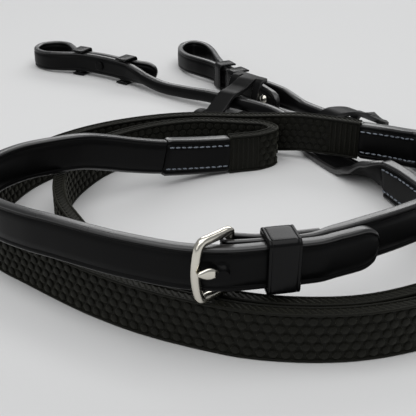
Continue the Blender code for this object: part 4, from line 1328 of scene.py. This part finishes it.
def spun(outline, centre, axis):
    """Rings of points round an axis, from rows of (length along it, radius)."""
    made = bmesh.new()
    across = axis.orthogonal().normalized()
    third = axis.cross(across)
    rings = []
    for reach, radius in outline:
        ring = []
        for k in range(STUD_SIDES):
            turn = 2 * math.pi * k / STUD_SIDES
            out = across * math.cos(turn) + third * math.sin(turn)
            ring.append(made.verts.new(metres(*(centre + axis * reach + out * radius))))
        rings.append(ring)
    skinned(made, rings)
    return made


for side, rein in REINS.items():
    main, tail = (rein["route"].place(at) for at in rein["stud"])
    inner = -BILLET[1] / 2 - STUD_CLEARANCE
    outer = (tail - main).length + BILLET[1] / 2 + STUD_CLEARANCE
    outline = [(inner - 1.0, FOOT * 0.6), (inner - 0.85, FOOT * 0.85), (inner - 0.5, FOOT),
               (inner - 0.1, FOOT), (inner, FOOT * 0.96), (inner, NECK), (outer, NECK),
               (outer, HEAD * 0.78), (outer + 0.15, HEAD * 0.9)]
    for k in range(9):
        turn = math.radians(10 * k)
        outline.append((outer + DOME_RISE + DOME_SHARE * math.sin(turn), HEAD * math.cos(turn)))
    axis = (tail - main).normalized()
    mesh = meshed("stud", spun(outline, main, axis), [STEEL, BRIDLE_LEATHER], sharp=STUD_SHARP)
    foot_end = axis.dot(Vector(metres(*(main + axis * (inner + 0.05)))))
    for face in mesh.polygons:
        if axis.dot(face.center) < foot_end:
            face.material_index = 1
    finished("turned_stud_" + side, mesh, "reins", "hook_stud_" + side)

# %% [markdown]
# ## Rein stops
#
# A leather rein stop is a strip with two slits: the rolled rein is threaded under its middle and
# over its rims, so the middle stands up as an arch. Cloth simulation would let it settle, but the
# leather is stiff and its lie is known. It is drawn as a net of heights, where the arch and the
# rims follow different curves between the slits, and the net is given the leather's thickness and
# rounded edges by modifiers, which are applied.

# %% The stops' net
STOP_WIDTH = 21.0
BRIDGE_WIDTH = 10.4
SLIT_WIDTH = 0.8
SLIT_OPENS = 0.05                # arch and rim this far apart have a slit between them
LANES, STATIONS = 5, 64          # columns in each half of the arch and in each rim, and rows
TINY = 1e-6
STOPS = {
    # place, bearing, skew, rows of (along the strip, arch, rims)
    "tip_side": ((14.7, 473.0), 45.0, -0.18, [
        (-31, 1.3, 1.3), (-24, 1.5, 1.5), (-17, 3.6, 3.6), (-13, 6.4, 2.8), (-9, 9.6, 1.5),
        (-5, 12.4, 1.3), (0, 13.4, 1.3), (4.6, 14.6, 1.4), (6.8, 15.6, 5.6), (9.6, 16.8, 13.4),
        (11.8, 17.6, 17.6), (18, 18.2, 18.2),
    ]),
    "buckle_side": ((74.0, 440.5), 11.5, -0.5, [
        (-17, 3.2, 3.2), (-15, 4.2, 4.2), (-12, 7.6, 2.2), (-8.5, 10.8, 1.4), (-5, 12.6, 1.3),
        (0, 13.0, 1.3), (5, 12.6, 1.3), (9, 11.4, 1.4), (13, 9.2, 2.6), (16.5, 7.6, 7.6),
        (23, 6.0, 6.0),
    ]),
}


def eased(rows, u, column):
    """Height from the rows, on a smooth curve that doesn't overshoot them."""
    last = len(rows) - 2
    i = next((i for i in range(last) if u <= rows[i + 1][0]), last)
    a, b = rows[i], rows[i + 1]
    before, after = rows[max(i - 1, 0)], rows[min(i + 2, len(rows) - 1)]
    span = b[0] - a[0]
    t = min(1.0, max(0.0, (u - a[0]) / span))
    leave = (b[column] - before[column]) / (b[0] - before[0])
    arrive = (after[column] - a[column]) / (after[0] - a[0])
    low, high = sorted((a[column], b[column]))
    return min(max(eased_between(a[column], b[column], leave, arrive, span, t), low), high)


def stop_net(centre, bearing, skew, rows):
    turn = math.radians(bearing)
    strip = Vector((math.cos(turn), math.sin(turn), 0))
    across = Vector((-strip.y, strip.x, 0))
    half, bridge = STOP_WIDTH / 2, BRIDGE_WIDTH / 2
    slit = bridge + SLIT_WIDTH
    rim_lanes = [slit + (half - slit) * k / LANES for k in range(LANES + 1)]
    bridge_lanes = [bridge * k / LANES for k in range(-LANES, LANES + 1)]
    lanes = [-v for v in reversed(rim_lanes)] + bridge_lanes + rim_lanes
    first, last = rows[0][0], rows[-1][0]
    made = bmesh.new()
    net = []
    apart = []
    for k in range(STATIONS + 1):
        u = first + (last - first) * k / STATIONS
        line = []
        split = 0.0
        for v in lanes:
            arch, rim = (eased(rows, u - v * skew, column) for column in (1, 2))
            split = max(split, arch - rim)
            z = rim if abs(v) >= slit - TINY else arch
            line.append(made.verts.new(metres(*(Vector((*centre, z)) + strip * u + across * v))))
        net.append(line)
        apart.append(split)
    slits = (len(rim_lanes) - 1, len(rim_lanes) + len(bridge_lanes) - 1)
    for i in range(STATIONS):
        for j in range(len(lanes) - 1):
            if j in slits and max(apart[i], apart[i + 1]) > SLIT_OPENS:
                continue
            made.faces.new((net[i][j], net[i + 1][j], net[i + 1][j + 1], net[i][j + 1]))
    return made


print("a stop's net has", STATIONS * (4 * LANES + 2), "places for faces")

# %% Thickness and edges, applied
SHOWN_THICKNESS = 2.3            # the solid's 2.4 mm, less a little at each face
EDGE_BEVEL = 0.5


def thickened(name, net):
    flat = bpy.data.meshes.new(name)
    net.to_mesh(flat)
    net.free()
    for look in LOOK:
        flat.materials.append(look)
    work = placed(name, flat)
    wall = work.modifiers.new("leather", "SOLIDIFY")
    wall.thickness = SHOWN_THICKNESS * MM
    wall.offset = 0.0
    # The rims take the edge look, whose paler colour is painted highlight.
    wall.material_offset_rim = 1
    edges = work.modifiers.new("rounded edges", "BEVEL")
    edges.width = EDGE_BEVEL * MM
    edges.segments = 3
    edges.limit_method = "ANGLE"
    edges.angle_limit = math.radians(50)
    mesh = applied(work)
    mesh.shade_smooth()
    mesh.set_sharp_from_angle(angle=math.radians(45))
    return mesh


for side, (centre, bearing, skew, rows) in STOPS.items():
    mesh = thickened("rein_stop_" + side, stop_net(centre, bearing, skew, rows))
    finished("slit_rein_stop_" + side, mesh, "rein_stop_" + side, "rein_stop_" + side)

# %% [markdown]
# ## What stays as a plain solid
#
# The webs inside the rubber keep their solids, because nothing of them shows. They get the woven
# finish, so that the model is right if someone takes the rubber off.

# %% Webs
for side in REINS:
    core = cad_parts["grip_core_" + side]
    core.data.materials.clear()
    core.data.materials.append(WEB)
    print(core.name, "keeps its solid, with", WEB.name)

# %% [markdown]
# ## Table, light and camera
#
# Black leather is all highlights: its colour says nothing, so the light has to draw it. A broad
# soft light above and behind the coil runs along every upper edge, a weaker one from the front
# left opens the faces, and a pale table and room fill the rest. Small lamps would give the leather
# hard spots. The camera is low and close, about 18 cm above the table, where the coil's straps
# overlap in depth.

# %% Table
FIBRE_MM = 1.2
TABLE_HALF = 6.0


def matte_table():
    made, tree, shader, places = new_material("matt_paper_sweep")
    fibres = add_node(tree, "ShaderNodeTexNoise",
                      {"Vector": places, "Scale": per_metre(FIBRE_MM), "Detail": 3.0})
    bump = add_node(tree, "ShaderNodeBump",
                    {"Height": fibres.outputs["Fac"], "Strength": 0.04, "Distance": 0.05 * MM})
    fill(tree, shader, {"Base Color": linear("#d6d6d6"), "Roughness": 0.9,
                        "Normal": bump.outputs["Normal"]})
    return made


corners = [(x * TABLE_HALF, y * TABLE_HALF, 0) for x, y in ((-1, -1), (1, -1), (1, 1), (-1, 1))]
table_mesh = bpy.data.meshes.new("table")
table_mesh.from_pydata(corners, [], [(0, 1, 2, 3)])
table_mesh.materials.append(matte_table())
placed("table", table_mesh)

# %% Lights
world = bpy.data.worlds.new("studio")
bpy.context.scene.world = world
world.use_nodes = True
fill(world.node_tree, world.node_tree.nodes["Background"],
     {"Color": linear("#f4f6f8"), "Strength": 0.32})


def soft_light(name, place, aim, size, power):
    lamp = bpy.data.lights.new(name, "AREA")
    lamp.shape = "RECTANGLE"
    lamp.size, lamp.size_y = size
    lamp.energy = power
    made = placed(name, lamp)
    made.location = place
    made.rotation_euler = (Vector(aim) - Vector(place)).to_track_quat("-Z", "Y").to_euler()
    print(name, size, "m", power, "W")


soft_light("overhead_bank", (0.0, -0.35, 1.2), (0.0, -0.35, 0.0), (1.8, 1.6), 14.5)
soft_light("back_bank", (0.25, 1.3, 0.8), (0.0, 0.0, 0.02), (1.4, 0.6), 7.0)
soft_light("front_fill", (-0.9, -0.9, 0.7), (0.0, 0.0, 0.02), (0.9, 0.9), 2.0)

# %% Camera
CAMERA_PLACE = (0.0004, -0.4079, 0.176)
CAMERA_PITCH = 63.2              # degrees up from straight down
SENSOR_MM = 36.0
FOCAL_FACTOR = 850 / 416         # focal length over the picture's width
lens = bpy.data.cameras.new("camera")
lens.sensor_width = SENSOR_MM
lens.lens = SENSOR_MM * FOCAL_FACTOR
lens.clip_start = 0.01
camera = placed("camera", lens)
camera.location = CAMERA_PLACE
camera.rotation_euler = (math.radians(CAMERA_PITCH), 0.0, 0.0)
bpy.context.scene.camera = camera
bpy.context.scene.view_settings.view_transform = "Standard"
print("camera", CAMERA_PLACE, "m,", round(lens.lens, 1), "mm lens")
